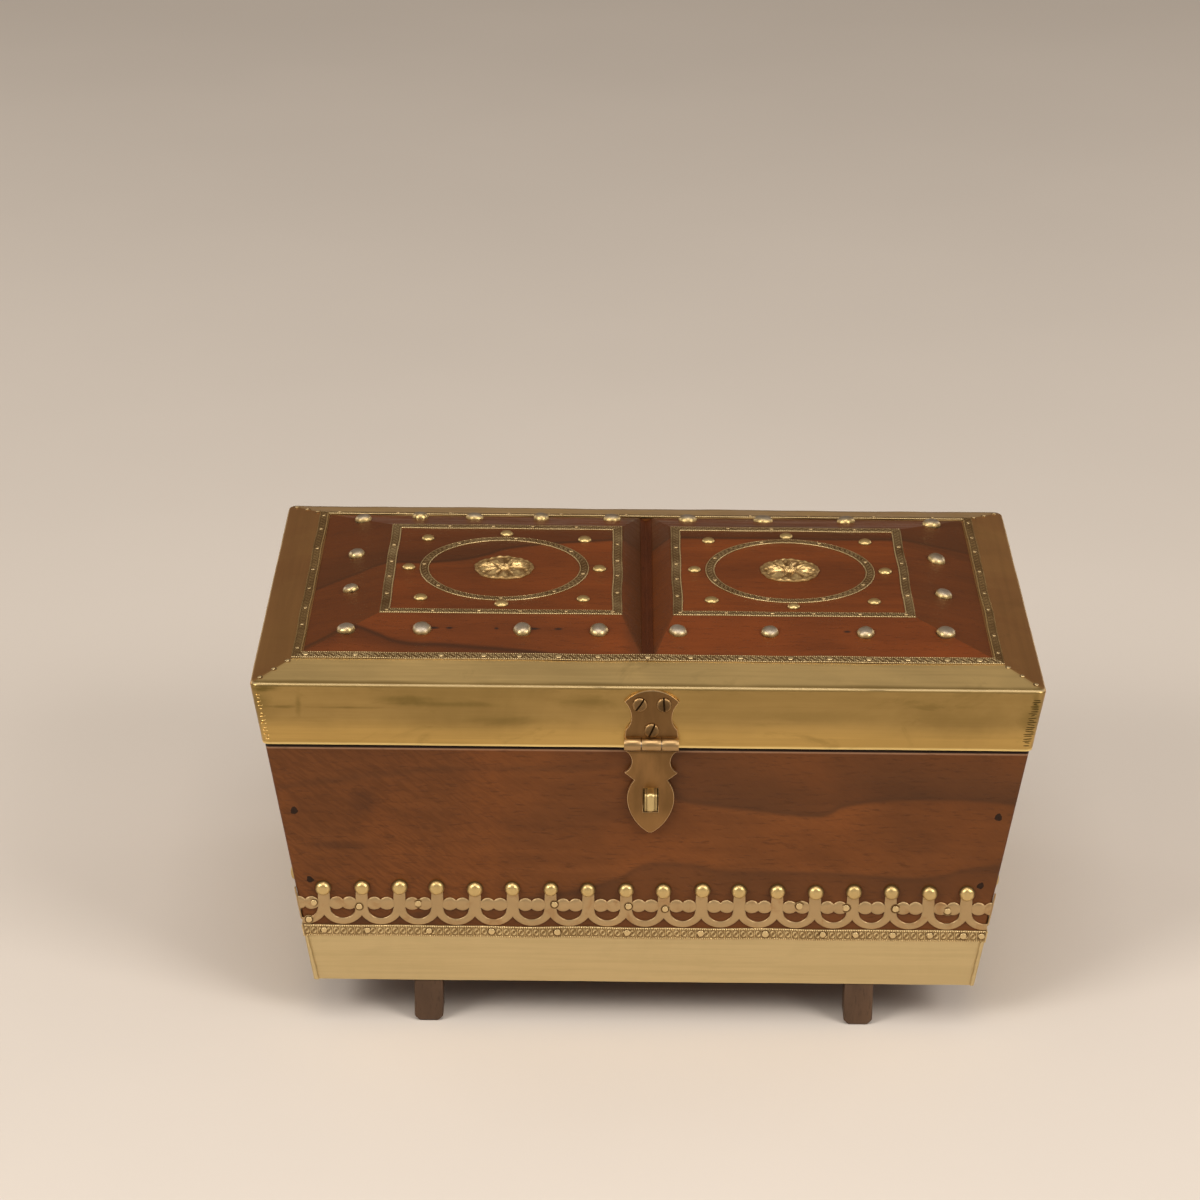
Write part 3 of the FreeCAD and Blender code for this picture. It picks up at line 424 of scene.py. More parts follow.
def shade(colour, *factors):
    """A colour times one factor, or times one each for red, green and blue."""
    return tuple(c * f for c, f in zip(colour, factors * 3 if len(factors) == 1 else factors))


def wood(name, colour, grain, pores=1.0, gloss=0.38, figure=(), marks=(), swirl=0.0, streaks=(), ends=0.0,
         rim=None):
    """Oiled hardwood. grain is the scale of the figure on X, Y, Z, small along the grain.
    figure are soft dark lines: (on x, y, z, offset, fade, strength), dark where the place
    dotted with the first three is the offset; on the panels, some are painted shade. marks
    are dark spots and filled holes: (centre, half sizes, strength). swirl is the strength of
    a slanting fine curl on the left. streaks are drawn lines: (axis, points, side, fade,
    strength, line), dark on the side +1 or -1 of a line whose places on the axis, Y or Z,
    follow X by the points, fading over the distance fade, with a darker line along it. ends
    is how much darker the bevels that face the ends are: painted shade. rim is the height of
    an eased upper edge with a pale line along it, a painted highlight, and a dark band above
    it, a painted shadow under the lid's edge."""
    paint = Paint(name, Roughness=gloss, IOR=1.45, Specular_IOR_Level=0.2)
    place = paint.place
    warp = paint.grained(grain, 4.0, 0.55, 0.6)
    lines = paint.grained([5.0 * g for g in grain], 5.0, 0.6, 0.4)
    fine = paint.grained([22.0 * g for g in grain], 3.0, 0.65)
    base = paint.mix(paint.spread(warp, 0.33, 0.68), shade(colour, 0.82), shade(colour, 1.14))
    base = paint.mix(paint.spread(lines, 0.36, 0.66, 0.0, 0.36), base, shade(colour, 0.62))
    blotch = paint.spread(paint.cloud(22.0, 2.0), 0.38, 0.72, 0.0, 0.42)
    base = paint.mix(blotch, base, shade(colour, 1.45, 1.32, 1.1))
    if swirl:
        curl = paint.grained((130.0, 130.0, 720.0), 3.0, 0.6, 0.8, vector=paint.mapped(turn=(0, -0.62, 0)))
        to_left = paint.spread(paint.part(place, "X"), -0.02, -0.10, 0.30, 1.0)
        share = paint.times(to_left, paint.spread(curl, 0.38, 0.60, swirl, 0.0))
        base = paint.mix(share, base, shade(colour, 0.50))
    sway = paint.times(paint.less(paint.cloud(24.0, 4.0, 0.6), 0.5), 0.020)
    for *across, offset, fade, strength in figure:
        along = paint.node("ShaderNodeVectorMath", {0: place, 1: across}, operation="DOT_PRODUCT")
        away = paint.sums("ABSOLUTE", paint.plus(paint.less(along.outputs["Value"], offset), sway))
        base = paint.mix(paint.spread(away, 0.0, fade, strength, 0.0), base, shade(colour, 0.26, 0.42, 0.75))
    deep = shade(colour, 0.30, 0.42, 0.72)
    for axis, points, side, fade, strength, line in streaks:
        away = paint.less(paint.part(place, axis), paint.line_height(paint.part(place, "X"), points))
        away = paint.sums("MULTIPLY_ADD", away, side, paint.times(sway, 0.12))
        share = paint.times(paint.spread(away, -0.0006, 0.0012), paint.spread(lines, 0.3, 0.7, 1.0, 0.7))
        share = paint.times(share, paint.spread(away, 0.0, fade, strength, strength * 0.35))
        base = paint.mix(share, base, deep)
        base = paint.mix(paint.spread(paint.apart(away, 0.0008), 0.0, 0.0026, line, 0.0), base, deep)
    # The bevels that face the ends are made darker: painted shade.
    if ends:
        slope = paint.sums("ABSOLUTE", paint.part(paint.facing, "X"))
        base = paint.mix(paint.spread(slope, 0.08, 0.18, 0.0, ends), base, shade(colour, 0.48, 0.66, 1.05))
    if rim is not None:
        # The rim: a pale line on the eased top edge, a painted highlight, and a dark band above it, a painted
        # shadow under the lid's edge.
        upright = paint.spread(paint.part(paint.facing, "Z"), 0.75, 0.95, 1.0, 0.0)
        worn, gap = (0.33, 0.185, 0.105), (0.010, 0.004, 0.002)
        for start, end, strength, tone in ((0.0022, 0.0017, 0.60, worn), (0.0014, 0.0012, 0.97, gap)):
            share = paint.spread(paint.part(place, "Z"), rim - start, rim - end, 0.0, strength)
            base = paint.mix(paint.times(upright, share), base, tone)
    pits = paint.times(paint.spread(fine, 0.30, 0.46, pores, 0.0), 0.5)
    base = paint.mix(pits, base, shade(colour, 0.38))
    for centre, half, strength in marks:
        share = paint.spread(paint.distance(centre, half), 0.3, 1.3, strength, 0.0)
        base = paint.mix(share, base, (0.012, 0.007, 0.005))
    paint.bump(warp, 0.0003, paint.bump(paint.spread(fine, 0.30, 0.46), 0.00006))
    return paint.coat(base, paint.spread(lines, 0.3, 0.7, gloss - 0.06, gloss + 0.12))


def sheet_brass(name, colour, tarnish, brushed, dull=0.5, patches=0.3, gloss=0.36, stains=(), lid=False,
                rim=0.0, streaks=0.25):
    """Brushed sheet brass. brushed is the scale of the brush marks on X, Y, Z, and
    streaks their strength. dull is how far the colour goes to tarnish, patches how strong
    the clouded stains are. stains are dark places: (centre, half sizes, strength). lid
    adds a lighter, yellower lower third, a painted reflection; the bright lower edge; a
    lighter slope round the window, a painted reflection, by the share rim; and along the
    fold that the value 'fold' marks, a paler, rougher band, a painted highlight on the ridge."""
    paint = Paint(name, Metallic=1.0, Roughness=gloss)
    marks = paint.grained(brushed, 4.0, 0.7)
    wide = paint.grained([0.12 * b for b in brushed], 3.0, 0.6, 0.5)
    cloud = paint.cloud(17.0, 4.0, 0.62, 0.8)
    stain = paint.noise(paint.mapped((1, 1, 2.4), shift=(0.31, 0.07, 0.12)), 26.0, 5.0, 0.66, 1.2)
    deep = shade(tarnish, 0.55, 0.60, 0.48)
    base = paint.mix(paint.spread(cloud, 0.3, 0.75, dull * 0.35, dull), colour, tarnish)
    base = paint.mix(paint.spread(wide, 0.42, 0.62, 0.0, streaks + 0.03), base, shade(colour, 1.12))
    if lid:
        height = paint.part(paint.place, "Z")
        # Lighter and yellower towards the bottom of the lid: a painted reflection.
        golden = paint.spread(paint.stirred(height, cloud, 0.006), 0.1325, 0.1235, 0.0, 0.85)
        base = paint.mix(golden, base, shade(colour, 1.28, 1.25, 1.1))
        base = paint.mix(paint.spread(height, 0.1213, 0.1206, 0.0, 0.8), base, (0.95, 0.72, 0.30))
        # The slope round the window is made lighter, by the share rim: a painted reflection.
        painted_slope_reflection = paint.spread(height, WINDOW_TOP - 0.0043, WINDOW_TOP - 0.0038, 0.0, rim)
        base = paint.mix(painted_slope_reflection, base, (0.90, 0.64, 0.27))
    base = paint.mix(paint.spread(marks, 0.40, 0.62, 0.0, streaks), base, shade(tarnish, 0.9))
    base = paint.mix(paint.spread(stain, 0.56, 0.74, 0.0, patches), base, deep)
    for centre, half, strength in stains:
        away = paint.stirred(paint.stirred(paint.distance(centre, half), stain, 3.0), marks, 1.6)
        base = paint.mix(paint.spread(away, 0.0, 1.5, strength, 0.0), base, deep)
    rough = paint.spread(cloud, 0.3, 0.7, gloss - 0.04, gloss + 0.12)
    if lid:
        # Paler and rougher along the fold: a painted highlight on the ridge.
        worn = paint.times(paint.value("fold"), paint.spread(cloud, 0.2, 0.5, 0.7, 1.0))
        base = paint.mix(worn, base, (0.47, 0.365, 0.205))
        rough = paint.sums("MULTIPLY_ADD", worn, 0.28, rough)
    paint.bump(paint.cloud(55.0, 2.0), 0.00025, paint.bump(marks, 0.000035))
    return paint.coat(base, rough)


def relief_brass(name, colour, recess, gloss, stained=0.0):
    """Brass with worn tops and dark recesses, told apart by the value 'relief'. stained
    is the strength of reddish-brown clouds."""
    paint = Paint(name, Metallic=1.0, Roughness=gloss)
    uneven = paint.stirred(paint.value("relief"), paint.cloud(70.0, 3.0, 0.6), 0.5)
    base = paint.mix(paint.spread(uneven, 0.12, 0.75), recess, colour)
    base = paint.mix(paint.spread(uneven, 0.8, 1.1, 0.0, 0.6), base, shade(colour, 1.25))
    if stained:
        share = paint.spread(paint.cloud(110.0, 4.0, 0.6, 0.8), 0.52, 0.72, 0.0, stained)
        base = paint.mix(share, base, shade(colour, 0.80, 0.55, 0.40))
    paint.bump(paint.cloud(900.0, 2.0, 0.6), 0.00004)
    return paint.coat(base, paint.spread(uneven, 0.1, 0.9, gloss + 0.22, gloss - 0.04))


def worn_silver(name, silver, brass):
    """Large nail heads whose plating is worn: silver tops, brass sides and a dark foot."""
    paint = Paint(name, Metallic=1.0, Roughness=0.3)
    cloud = paint.cloud(160.0, 3.0, 0.6)
    worn = paint.stirred(paint.value("relief"), cloud, 0.55)
    base = paint.mix(paint.spread(worn, 0.35, 0.8), shade(brass, 0.75), silver)
    base = paint.mix(paint.spread(worn, 0.0, 0.22, 0.8, 0.0), base, (0.09, 0.06, 0.035))
    paint.bump(cloud, 0.0001)
    return paint.coat(base, paint.spread(cloud, 0.3, 0.7, 0.34, 0.52))


def hasp_plate_bronze(name, bronze):
    """Dark bronze plate, paler low down, with a painted shadow just below the knuckles at
    the lid's lower edge, and bright where the value 'edge' marks its bevel."""
    paint = Paint(name, Metallic=1.0, Roughness=0.34)
    cloud = paint.noise(paint.mapped((1, 1, 0.25)), 160.0, 4.0, 0.6)
    height = paint.part(paint.place, "Z")
    base = paint.mix(paint.spread(cloud, 0.3, 0.7), shade(bronze, 0.82), shade(bronze, 1.25))
    base = paint.mix(paint.spread(height, 0.0965, 0.0885, 0.0, 0.6), base, shade(bronze, 1.5))
    # A dark band just below the knuckles: a painted shadow.
    under = paint.spread(paint.apart(height, 0.1203), 0.0006, 0.0026, 0.7, 0.0)
    base = paint.mix(under, base, shade(bronze, 0.30))
    base = paint.mix(paint.spread(height, 0.1225, 0.1250, 0.0, 0.42), base, shade(bronze, 0.55))
    base = paint.mix(paint.spread(paint.value("edge"), 0.15, 0.85), base, (0.66, 0.45, 0.225))
    paint.bump(paint.noise(paint.mapped((1, 1, 0.1)), 1500.0, 2.0, 0.6), 0.00003)
    return paint.coat(base, paint.spread(cloud, 0.3, 0.7, 0.28, 0.42))


def specked(name, scale, dark, light, **base):
    """Wax or steel of two close tones in fine specks."""
    paint = Paint(name, **base)
    return paint.coat(paint.mix(paint.cloud(scale), dark, light))


# Grain: how fine the figure is on X, Y and Z. Streaks, holes, spots and stains are places in
# millimetres: X and Z on the fronts, X and Y on the panels. PANEL_FIGURE_AND_PAINTED_SHADE's offsets are in metres

CASE_GRAIN, CROSS_GRAIN = (7.0, 60.0, 46.0), (60.0, 7.0, 60.0)
CASE_STREAKS = (
    ("Z", ((-150, 135), (-8, 125), (4, 108), (13, 97), (29, 94.4), (43, 92.8), (57, 91.2), (67, 90.9),
           (76, 94.5), (95, 97.6), (114, 98.2), (128, 97.9), (150, 95)), 1, 0.028, 0.62, 0.22),
    ("Z", ((-150, 40), (-40, 56), (-10, 64), (5, 70.5), (20, 69.9), (28, 67.8), (43, 67.1), (62, 67.3),
           (86, 66.3), (104, 65.2), (114, 65.9), (123, 68.8), (150, 73)), -1, 0.020, 0.42, 0.20),
    ("Z", ((-150, 98), (-124, 103), (-108, 105), (-66, 109.4), (-33, 109.2), (0, 113), (30, 122), (150, 135)),
     1, 0.006, 0.14, 0.16))
PANEL_STREAKS = (
    ("Y", ((-134, -9), (-117, 1), (-104, 7.8), (-88, 8.3), (-80, 10.1), (-74, 12), (-66, 16.6), (-56, 24.6),
           (-45, 28.3), (-16, 34.7), (0, 38)), 1, 0.036, 0.74, 0.75),
    ("Y", ((-136, -68), (-128, -62), (-121.5, -55.6), (-118, -51.4), (-113, -53.3), (-105, -58.2),
           (-93, -63.9), (-81, -64.6), (-66, -66.2), (-46, -68.5), (-20, -75)), -1, 0.016, 0.62, 0.80))
# On the panels, the first two figure lines darken the bevels beside the valley, and the one at 0.135 darkens
# the right panel's bevel toward the end: painted shade. The others are dark figure in the wood.
PANEL_FIGURE_AND_PAINTED_SHADE = (
    (1, 0.02, 0, -0.0040, 0.0075, 0.60), (1, 0.01, 0, -0.0005, 0.0036, 0.60),
    (0.26, 0.96, 0, 0.0655, 0.005, 0.35),
    (1, 0.10, 0, 0.135, 0.013, 0.30), (0.05, 1, 0, 0.0780, 0.010, 0.35), (1, 0.15, 0, -0.068, 0.045, 0.30))
PANEL_HOLES = ((-83.3, 2.4), (-77.3, 1.6), (-58.9, 1.0), (-44.4, 2.8), (-34.8, 1.8), (77.7, 1.6))
CASE_SPOTS = ((-109.6, 95.6, 6.0, 6.0, 0.30), (-119, 76.8, 14.0, 2.0, 0.28), (-10, 93, 30.0, 9.0, 0.12),
              (-45, 88, 26.0, 7.0, 0.10))
LID_STAINS = (
    (-146.5, 143.5, 6.5, 1.6, 0.85), (-133.5, 137.5, 1.2, 5.5, 0.40), (-140.0, 136.0, 6.0, 0.7, 0.55),
    (-115.0, 135.8, 15.0, 0.6, 0.50), (-148.0, 138.0, 4.0, 6.0, 0.45), (-92.0, 139.5, 16.0, 1.6, 0.50),
    (-78.0, 137.5, 20.0, 1.4, 0.50), (-20.0, 139.0, 13.0, 3.0, 0.45), (-52.0, 131.0, 18.0, 2.2, 0.35),
    (62.0, 134.0, 30.0, 2.4, 0.18), (148.0, 140.0, 1.6, 4.6, 0.85), (145.5, 134.0, 3.0, 5.0, 0.40))


def front_spots(rows, y, depth):
    """Spots on a front face, from rows of x, z, half length, half height and strength."""
    return [((x * MM, y, z * MM), (a * MM, depth, b * MM), strength) for x, z, a, b, strength in rows]


FINISH = {}


def finish_of(name):
    """The materials of the chest, each made once, when it is first asked for."""
    if name not in FINISH:
        FINISH[name] = make_finish(name)
    return FINISH[name]


def make_finish(name):
    """Makes one finish by its recipe."""
    f = finishes()
    holes = [((x * MM, -0.0545, 0.1532), (half * MM, 0.0009, 0.0009), 0.85) for x, half in PANEL_HOLES]
    recipes = {
        # The case wood's rim at the case's top edge: a painted highlight with a painted shadow above it.
        "case_wood": lambda: wood("Chest wood", f.case_wood, CASE_GRAIN, 0.8, 0.36, swirl=0.42,
                                  marks=front_spots(CASE_SPOTS, CASE_FRONT, 0.01), streaks=CASE_STREAKS,
                                  rim=CASE_TOP),
        "rail_wood": lambda: wood("Rail wood", f.case_wood, CASE_GRAIN, 0.8, 0.42),
        "end_wood": lambda: wood("End wood", f.case_wood, CROSS_GRAIN, 0.8, 0.38,
                                 figure=((0, 0.1, 1, 0.088, 0.010, 0.4),)),
        # Darker panel wood for the rib in the valley: painted shade.
        "painted_shade_valley_wood": lambda: wood("Valley wood", shade(f.panel_wood, 0.52), CROSS_GRAIN, 0.6, 0.6),
        # Panel wood: darker beside the valley and on the bevels that face the ends, painted shade.
        "panel_wood": lambda: wood("Panel wood", f.panel_wood, (8.0, 50.0, 30.0), 0.7, 0.34,
                                   figure=PANEL_FIGURE_AND_PAINTED_SHADE, marks=holes, streaks=PANEL_STREAKS, ends=0.5),
        "foot_wood": lambda: wood("Foot wood", f.foot_wood, (60.0, 60.0, 12.0), 1.0, 0.5),
        # The lid brass: lighter low down and on the slope round the window, painted reflection, and paler
        # along the ridge, a painted highlight.
        "lid_brass": lambda: sheet_brass("Lid brass", f.sheet_brass, f.tarnish, (9.0, 220.0, 420.0),
                                         dull=0.75, patches=0.28, gloss=0.34, lid=True, rim=0.75,
                                         stains=front_spots(LID_STAINS, LID_FRONT, 0.012), streaks=0.15),
        # A redder, paler copy of the lid brass for the faces toward the lid's ends: a painted reflection.
        "lid_end_painted_reflection_brass": lambda: sheet_brass("Lid end brass", shade(f.sheet_brass, 1.54, 1.29, 1.30),
                                             shade(f.tarnish, 1.15, 0.93, 0.92), (220.0, 9.0, 420.0),
                                             dull=0.75, patches=0.15, lid=True, streaks=0.15),
        "skirt_brass": lambda: sheet_brass("Skirt brass", f.skirt_brass, f.tarnish, (10.0, 300.0, 500.0),
                                           dull=0.12, patches=0.06, gloss=0.42, streaks=0.10),
        "hinge_brass": lambda: sheet_brass("Hinge brass", f.sheet_brass, f.tarnish, (60.0, 300.0, 300.0)),
        "band_brass": lambda: relief_brass("Band brass", f.band_brass, shade(f.band_brass, 0.40), 0.46,
                                           stained=0.5),
        "strip_brass": lambda: relief_brass("Strip brass", f.strip_brass, (0.135, 0.069, 0.024), 0.36),
        "pale_strip_brass": lambda: relief_brass("Pale strip brass", shade(f.strip_brass, 0.98),
                                                 (0.27, 0.175, 0.075), 0.42),
        # A darker brass for the strips at the lid's ends: painted shade.
        "painted_shade_strip_brass": lambda: relief_brass("Dull strip brass", (0.50, 0.33, 0.135),
                                                 (0.130, 0.070, 0.025), 0.40),
        "screw_brass": lambda: relief_brass("Screw brass", f.nail_brass, (0.02, 0.011, 0.006), 0.36),
        "seam_brass": lambda: relief_brass("Seam brass", shade(f.sheet_brass, 1.25), shade(f.tarnish, 0.35),
                                           0.40),
        "rosette_brass": lambda: relief_brass("Rosette brass", (0.60, 0.41, 0.18), (0.24, 0.135, 0.048),
                                              0.36),
        "nail_brass": lambda: relief_brass("Nail brass", f.nail_brass, (0.17, 0.105, 0.036), 0.36),
        "staple_brass": lambda: relief_brass("Staple brass", (0.56, 0.42, 0.19), (0.15, 0.09, 0.035), 0.42),
        "hasp_worn": lambda: relief_brass("Worn bronze", (0.405, 0.26, 0.118), shade(f.hasp_bronze, 0.35),
                                          0.33),
        "screw_bronze": lambda: relief_brass("Screw bronze", (0.37, 0.225, 0.095), (0.06, 0.032, 0.013),
                                             0.40),
        "nail_silver": lambda: worn_silver("Nail silver", f.nail_silver, f.nail_brass),
        "hasp_edge": lambda: hasp_plate_bronze("Hasp bronze plate", f.hasp_bronze),
        "dark_wax": lambda: specked("Dark wax", 600.0, (0.014, 0.008, 0.005), (0.032, 0.017, 0.010),
                                    Roughness=0.85, Specular_IOR_Level=0.1),
        "steel": lambda: specked("Steel pin", 300.0, (0.30, 0.28, 0.25), (0.55, 0.53, 0.50),
                                 Metallic=1.0, Roughness=0.35),
    }
    return recipes[name]()


# Wooden pieces

class CHEST_OT_boards(bpy.types.Operator):
    """Makes the front and end boards with eased edges, and dresses the plain boards and rails"""
    bl_idname = "object.chest_boards"
    bl_label = "Boards"

    def execute(self, context):
        bottom, top = case_half(CASE_BOTTOM), case_half(CASE_TOP)
        rings = [[(-bottom, y, CASE_BOTTOM), (bottom, y, CASE_BOTTOM), (top, y, CASE_TOP),
                  (-top, y, CASE_TOP)] for y in (CASE_FRONT, INNER_FRONT)]
        rounded(add("shown_front_board", rings, "case_wood", "case", "case_wood", "front_board"), 1.1 * MM, 4)
        for side, name in ((-1, "left_end_board"), (1, "right_end_board")):
            thick = abs(high(name)[0] - low(name)[0]) - (top - bottom)
            rings = [[(side * bottom, y, CASE_BOTTOM), (side * top, y, CASE_TOP),
                      (side * (top - thick), y, CASE_TOP), (side * (bottom - thick), y, CASE_BOTTOM)]
                     for y in (INNER_FRONT, INNER_BACK)]
            rounded(add("shown_" + name, rings, "end_wood", "case", "case_wood", name), 0.25 * MM)
        dress("rail_wood", "back_board", "bottom_board", "lid_rail_front", "lid_rail_back")
        dress("end_wood", "lid_rail_left", "lid_rail_right")
        return {"FINISHED"}


class CHEST_OT_muntin(bpy.types.Operator):
    """Makes the bar between the panels: a wide foot under them and a rib between them,
    whose top goes down to its middle on both sides, in line with the panels' bevels"""
    bl_idname = "object.chest_muntin"
    bl_label = "Muntin"

    def execute(self, context):
        (x0, y0, z0), (x1, y1, z1) = low("lid_muntin"), high("lid_muntin")
        step, half, valley = low("lid_panel_left")[2], 2.4 * MM, 1.5 * MM
        x = np.linspace(-half, half, 13)
        top = z1 - 0.05 * MM - valley * (1 - np.abs(x) / half) ** 0.85
        rib = np.concatenate([np.stack([x, top], -1), [[half, step], [-half, step]]])
        rings = [[(u, y, v) for u, v in rib] for y in (y0 + 0.2 * MM, y1 - 0.2 * MM)]
        # The rib is given darker wood: painted shade in the valley.
        add("muntin_rib", rings, "painted_shade_valley_wood", "lid", "case_wood", "lid_muntin", crease=70)
        inset = 6.0 * MM
        rings = block((x0, y0 + inset), (x1, y1 - inset), z0, step)
        rounded(add("muntin_foot", rings, "end_wood", "lid", "case_wood"), 0.3 * MM)
        return {"FINISHED"}


class CHEST_OT_feet(bpy.types.Operator):
    """Makes the four feet, chamfered at the floor and softly worn"""
    bl_idname = "object.chest_feet"
    bl_label = "Feet"

    def execute(self, context):
        corner, top = 1.9 * MM, CASE_BOTTOM
        for name in ("foot_front_left", "foot_front_right", "foot_back_left", "foot_back_right"):
            (x0, y0, z0), (x1, y1, _) = low(name), high(name)
            rings = [[(x0 + corner, y, z0), (x1 - corner, y, z0), (x1, y, z0 + corner), (x1, y, top),
                      (x0, y, top), (x0, y, z0 + corner)] for y in (y0, y1)]
            rounded(add("shown_" + name, rings, "foot_wood", "case", "foot_wood", name), 0.7 * MM, 4)
        return {"FINISHED"}


class CHEST_OT_board_nails(bpy.types.Operator):
    """Makes the dark filled heads of the nails that join the boards"""
    bl_idname = "object.chest_board_nails"
    bl_label = "Board nails"

    def execute(self, context):
        place = read(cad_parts["board_nails"].data.vertices, "co")
        front = place[place[:, 1] < CASE_FRONT + 1e-5][:, [0, 2]]
        cells = np.unique(np.round(front / (3 * MM)), axis=0) * 3 * MM
        spots = np.array([front[np.hypot(*(front - cell).T) < 4 * MM].mean(0) for cell in cells])
        spots = np.unique(np.round(spots, 4), axis=0)
        turn = np.linspace(0, TAU, 14, endpoint=False)
        uneven = 1 + 0.13 * np.sin(3 * turn + spots[:, :1] * 900) + 0.08 * np.sin(5 * turn + 2)
        levels = np.array([(1.2, -0.4), (1.2, 0.02), (0.9, 0.05), (0.3, 0.04)])
        radius, rise = levels.T[..., None] * MM
        tubes = []
        for y, sign in ((CASE_FRONT, -1), (CASE_BACK, 1)):
            x = spots[:, :1, None] + radius * uneven[:, None] * np.cos(turn)
            z = spots[:, 1:, None] + radius * uneven[:, None] * np.sin(turn)
            tubes.append(np.stack([x, np.broadcast_to(y + sign * rise, x.shape), z], -1))
        add("filled_nail_heads", np.concatenate(tubes), "dark_wax", "case", "iron", "board_nails")
        return {"FINISHED"}


class CHEST_OT_panels(bpy.types.Operator):
    """Makes the two raised panels: an edge, four bevels and a flat field"""
    bl_idname = "object.chest_panels"
    bl_label = "Panels"

    def execute(self, context):
        margin = 0.35 * MM
        for name in ("left", "right"):
            (x0, y0, z0), (x1, y1, z1) = low("lid_panel_" + name), high("lid_panel_" + name)
            field = (*low("square_frame_" + name)[:2] - margin, *high("square_frame_" + name)[:2] + margin)
            levels = ((x0, y0, x1, y1, z0), (x0, y0, x1, y1, PANEL_EDGE_TOP), (*field, z1))
            rings = [[(a, b, z) for a, b in ((left, front), (right, front), (right, back), (left, back))]
                     for left, front, right, back, z in levels]
            panel = add("shown_panel_" + name, rings, "panel_wood", "lid", "panel_wood", "lid_panel_" + name,
                        crease=12)
            rounded(panel, 0.6 * MM)
        return {"FINISHED"}


# Sheet brass

def wavy(x, y, z, depth):
    """A slow uneven swell of hand-worked sheet: four crossed sines, up to depth."""
    return depth * (0.4 * np.sin(61 * x + 40 * z) + 0.3 * np.sin(-97 * y + 71 * z + 1.3)
                    + 0.2 * np.sin(171 * x + 133 * y + 2.1) + 0.1 * np.sin(310 * (x + y + z)))


def both_faces(outer, inner):
    """Rings that go along the outer face of a sheet and back along its inner face."""
    outer, inner = (np.stack(np.broadcast_arrays(*axes), -1) for axes in (outer, inner))
    return np.concatenate([outer, inner[:, ::-1]], 1)


class CHEST_OT_skirt(bpy.types.Operator):
    """Makes the four skirt sheets, slightly uneven, the end ones folded onto the front and back"""
    bl_idname = "object.chest_skirt"
    bl_label = "Skirt"

    def execute(self, context):
        z = np.linspace(CASE_BOTTOM, STRIP_LOW, 12)
        x = np.linspace(-1, 1, 121)[:, None] * case_half(z)
        for name, place, sign in (("front", CASE_FRONT, -1), ("back", CASE_BACK, 1)):
            out = place + sign * (0.4125 * MM + wavy(x, 0, z, 0.2 * MM))
            self.sheet(name, both_faces((x, out, z), (x, place, z)))
        sheet, bend = 0.6 * MM, 1.2 * MM
        front, back = CASE_FRONT - 2 * sheet, CASE_BACK + 2 * sheet
        turn = np.linspace(0, math.pi / 2, 7)
        arc_x, arc_y = sheet + bend * (np.sin(turn) - 1), bend * (1 - np.cos(turn))
        level = np.linspace(front + arc_y[-1], back - arc_y[-1], 80)[1:-1]
        y = np.concatenate([[front], front + arc_y, level, (back - arc_y)[::-1], [back]])
        path = np.concatenate([[0], arc_x, np.full(len(level), sheet), arc_x[::-1], [0]])
        y_in = np.clip(y, front + 0.5 * MM, back - 0.5 * MM)
        left_flange, right_flange = np.linspace(1.5 * MM, 0.6 * MM, 12), np.full(12, 1.0 * MM)
        for side, name, flange in ((-1, "left", left_flange), (1, "right", right_flange)):
            flange = flange + 0.10 * MM * np.sin(900 * z + side) + 0.06 * MM * np.sin(2100 * z)
            over = np.tile(path, (12, 1))
            over[:, [0, -1]] = -flange[:, None]
            up = z[:, None]
            swell = wavy(side, y, up, 0.16 * MM) * (np.abs(over - sheet) < 1e-9)
            x_out = side * (case_half(up) + over - 0.05 * MM - np.abs(swell))
            x_in = side * (case_half(up) + np.minimum(over, 0.0))
            self.sheet(name, both_faces((x_out, y, up), (x_in, y_in, up)))
        return {"FINISHED"}

    def sheet(self, name, rings):
        add("skirt_sheet_" + name, rings, "skirt_brass", "case", "skirt_brass", "skirt_" + name)


def rounded_rectangles(half_x, half_y, corner, z):
    """Rounded rectangles, one for each row of four columns (k, 1): quarter circles of nine
    points, and straight sides between them."""
    turn = np.linspace(0, math.pi / 2, 9)
    quarters = []
    for sx, sy, t in ((1, 1, turn), (-1, 1, turn[::-1]), (-1, -1, turn), (1, -1, turn[::-1])):
        quarters.append(np.stack([sx * (half_x - corner + corner * np.cos(t)),
                                  sy * (half_y - corner + corner * np.sin(t)), z + 0 * t], -1))
    closed = []
    for i, count in enumerate((90, 60, 90, 60)):
        start, end = quarters[i][:, -1:], quarters[(i + 1) % 4][:, :1]
        closed += [quarters[i], start + (end - start) * np.linspace(0, 1, count)[1:-1, None]]
    return np.concatenate(closed, 1)


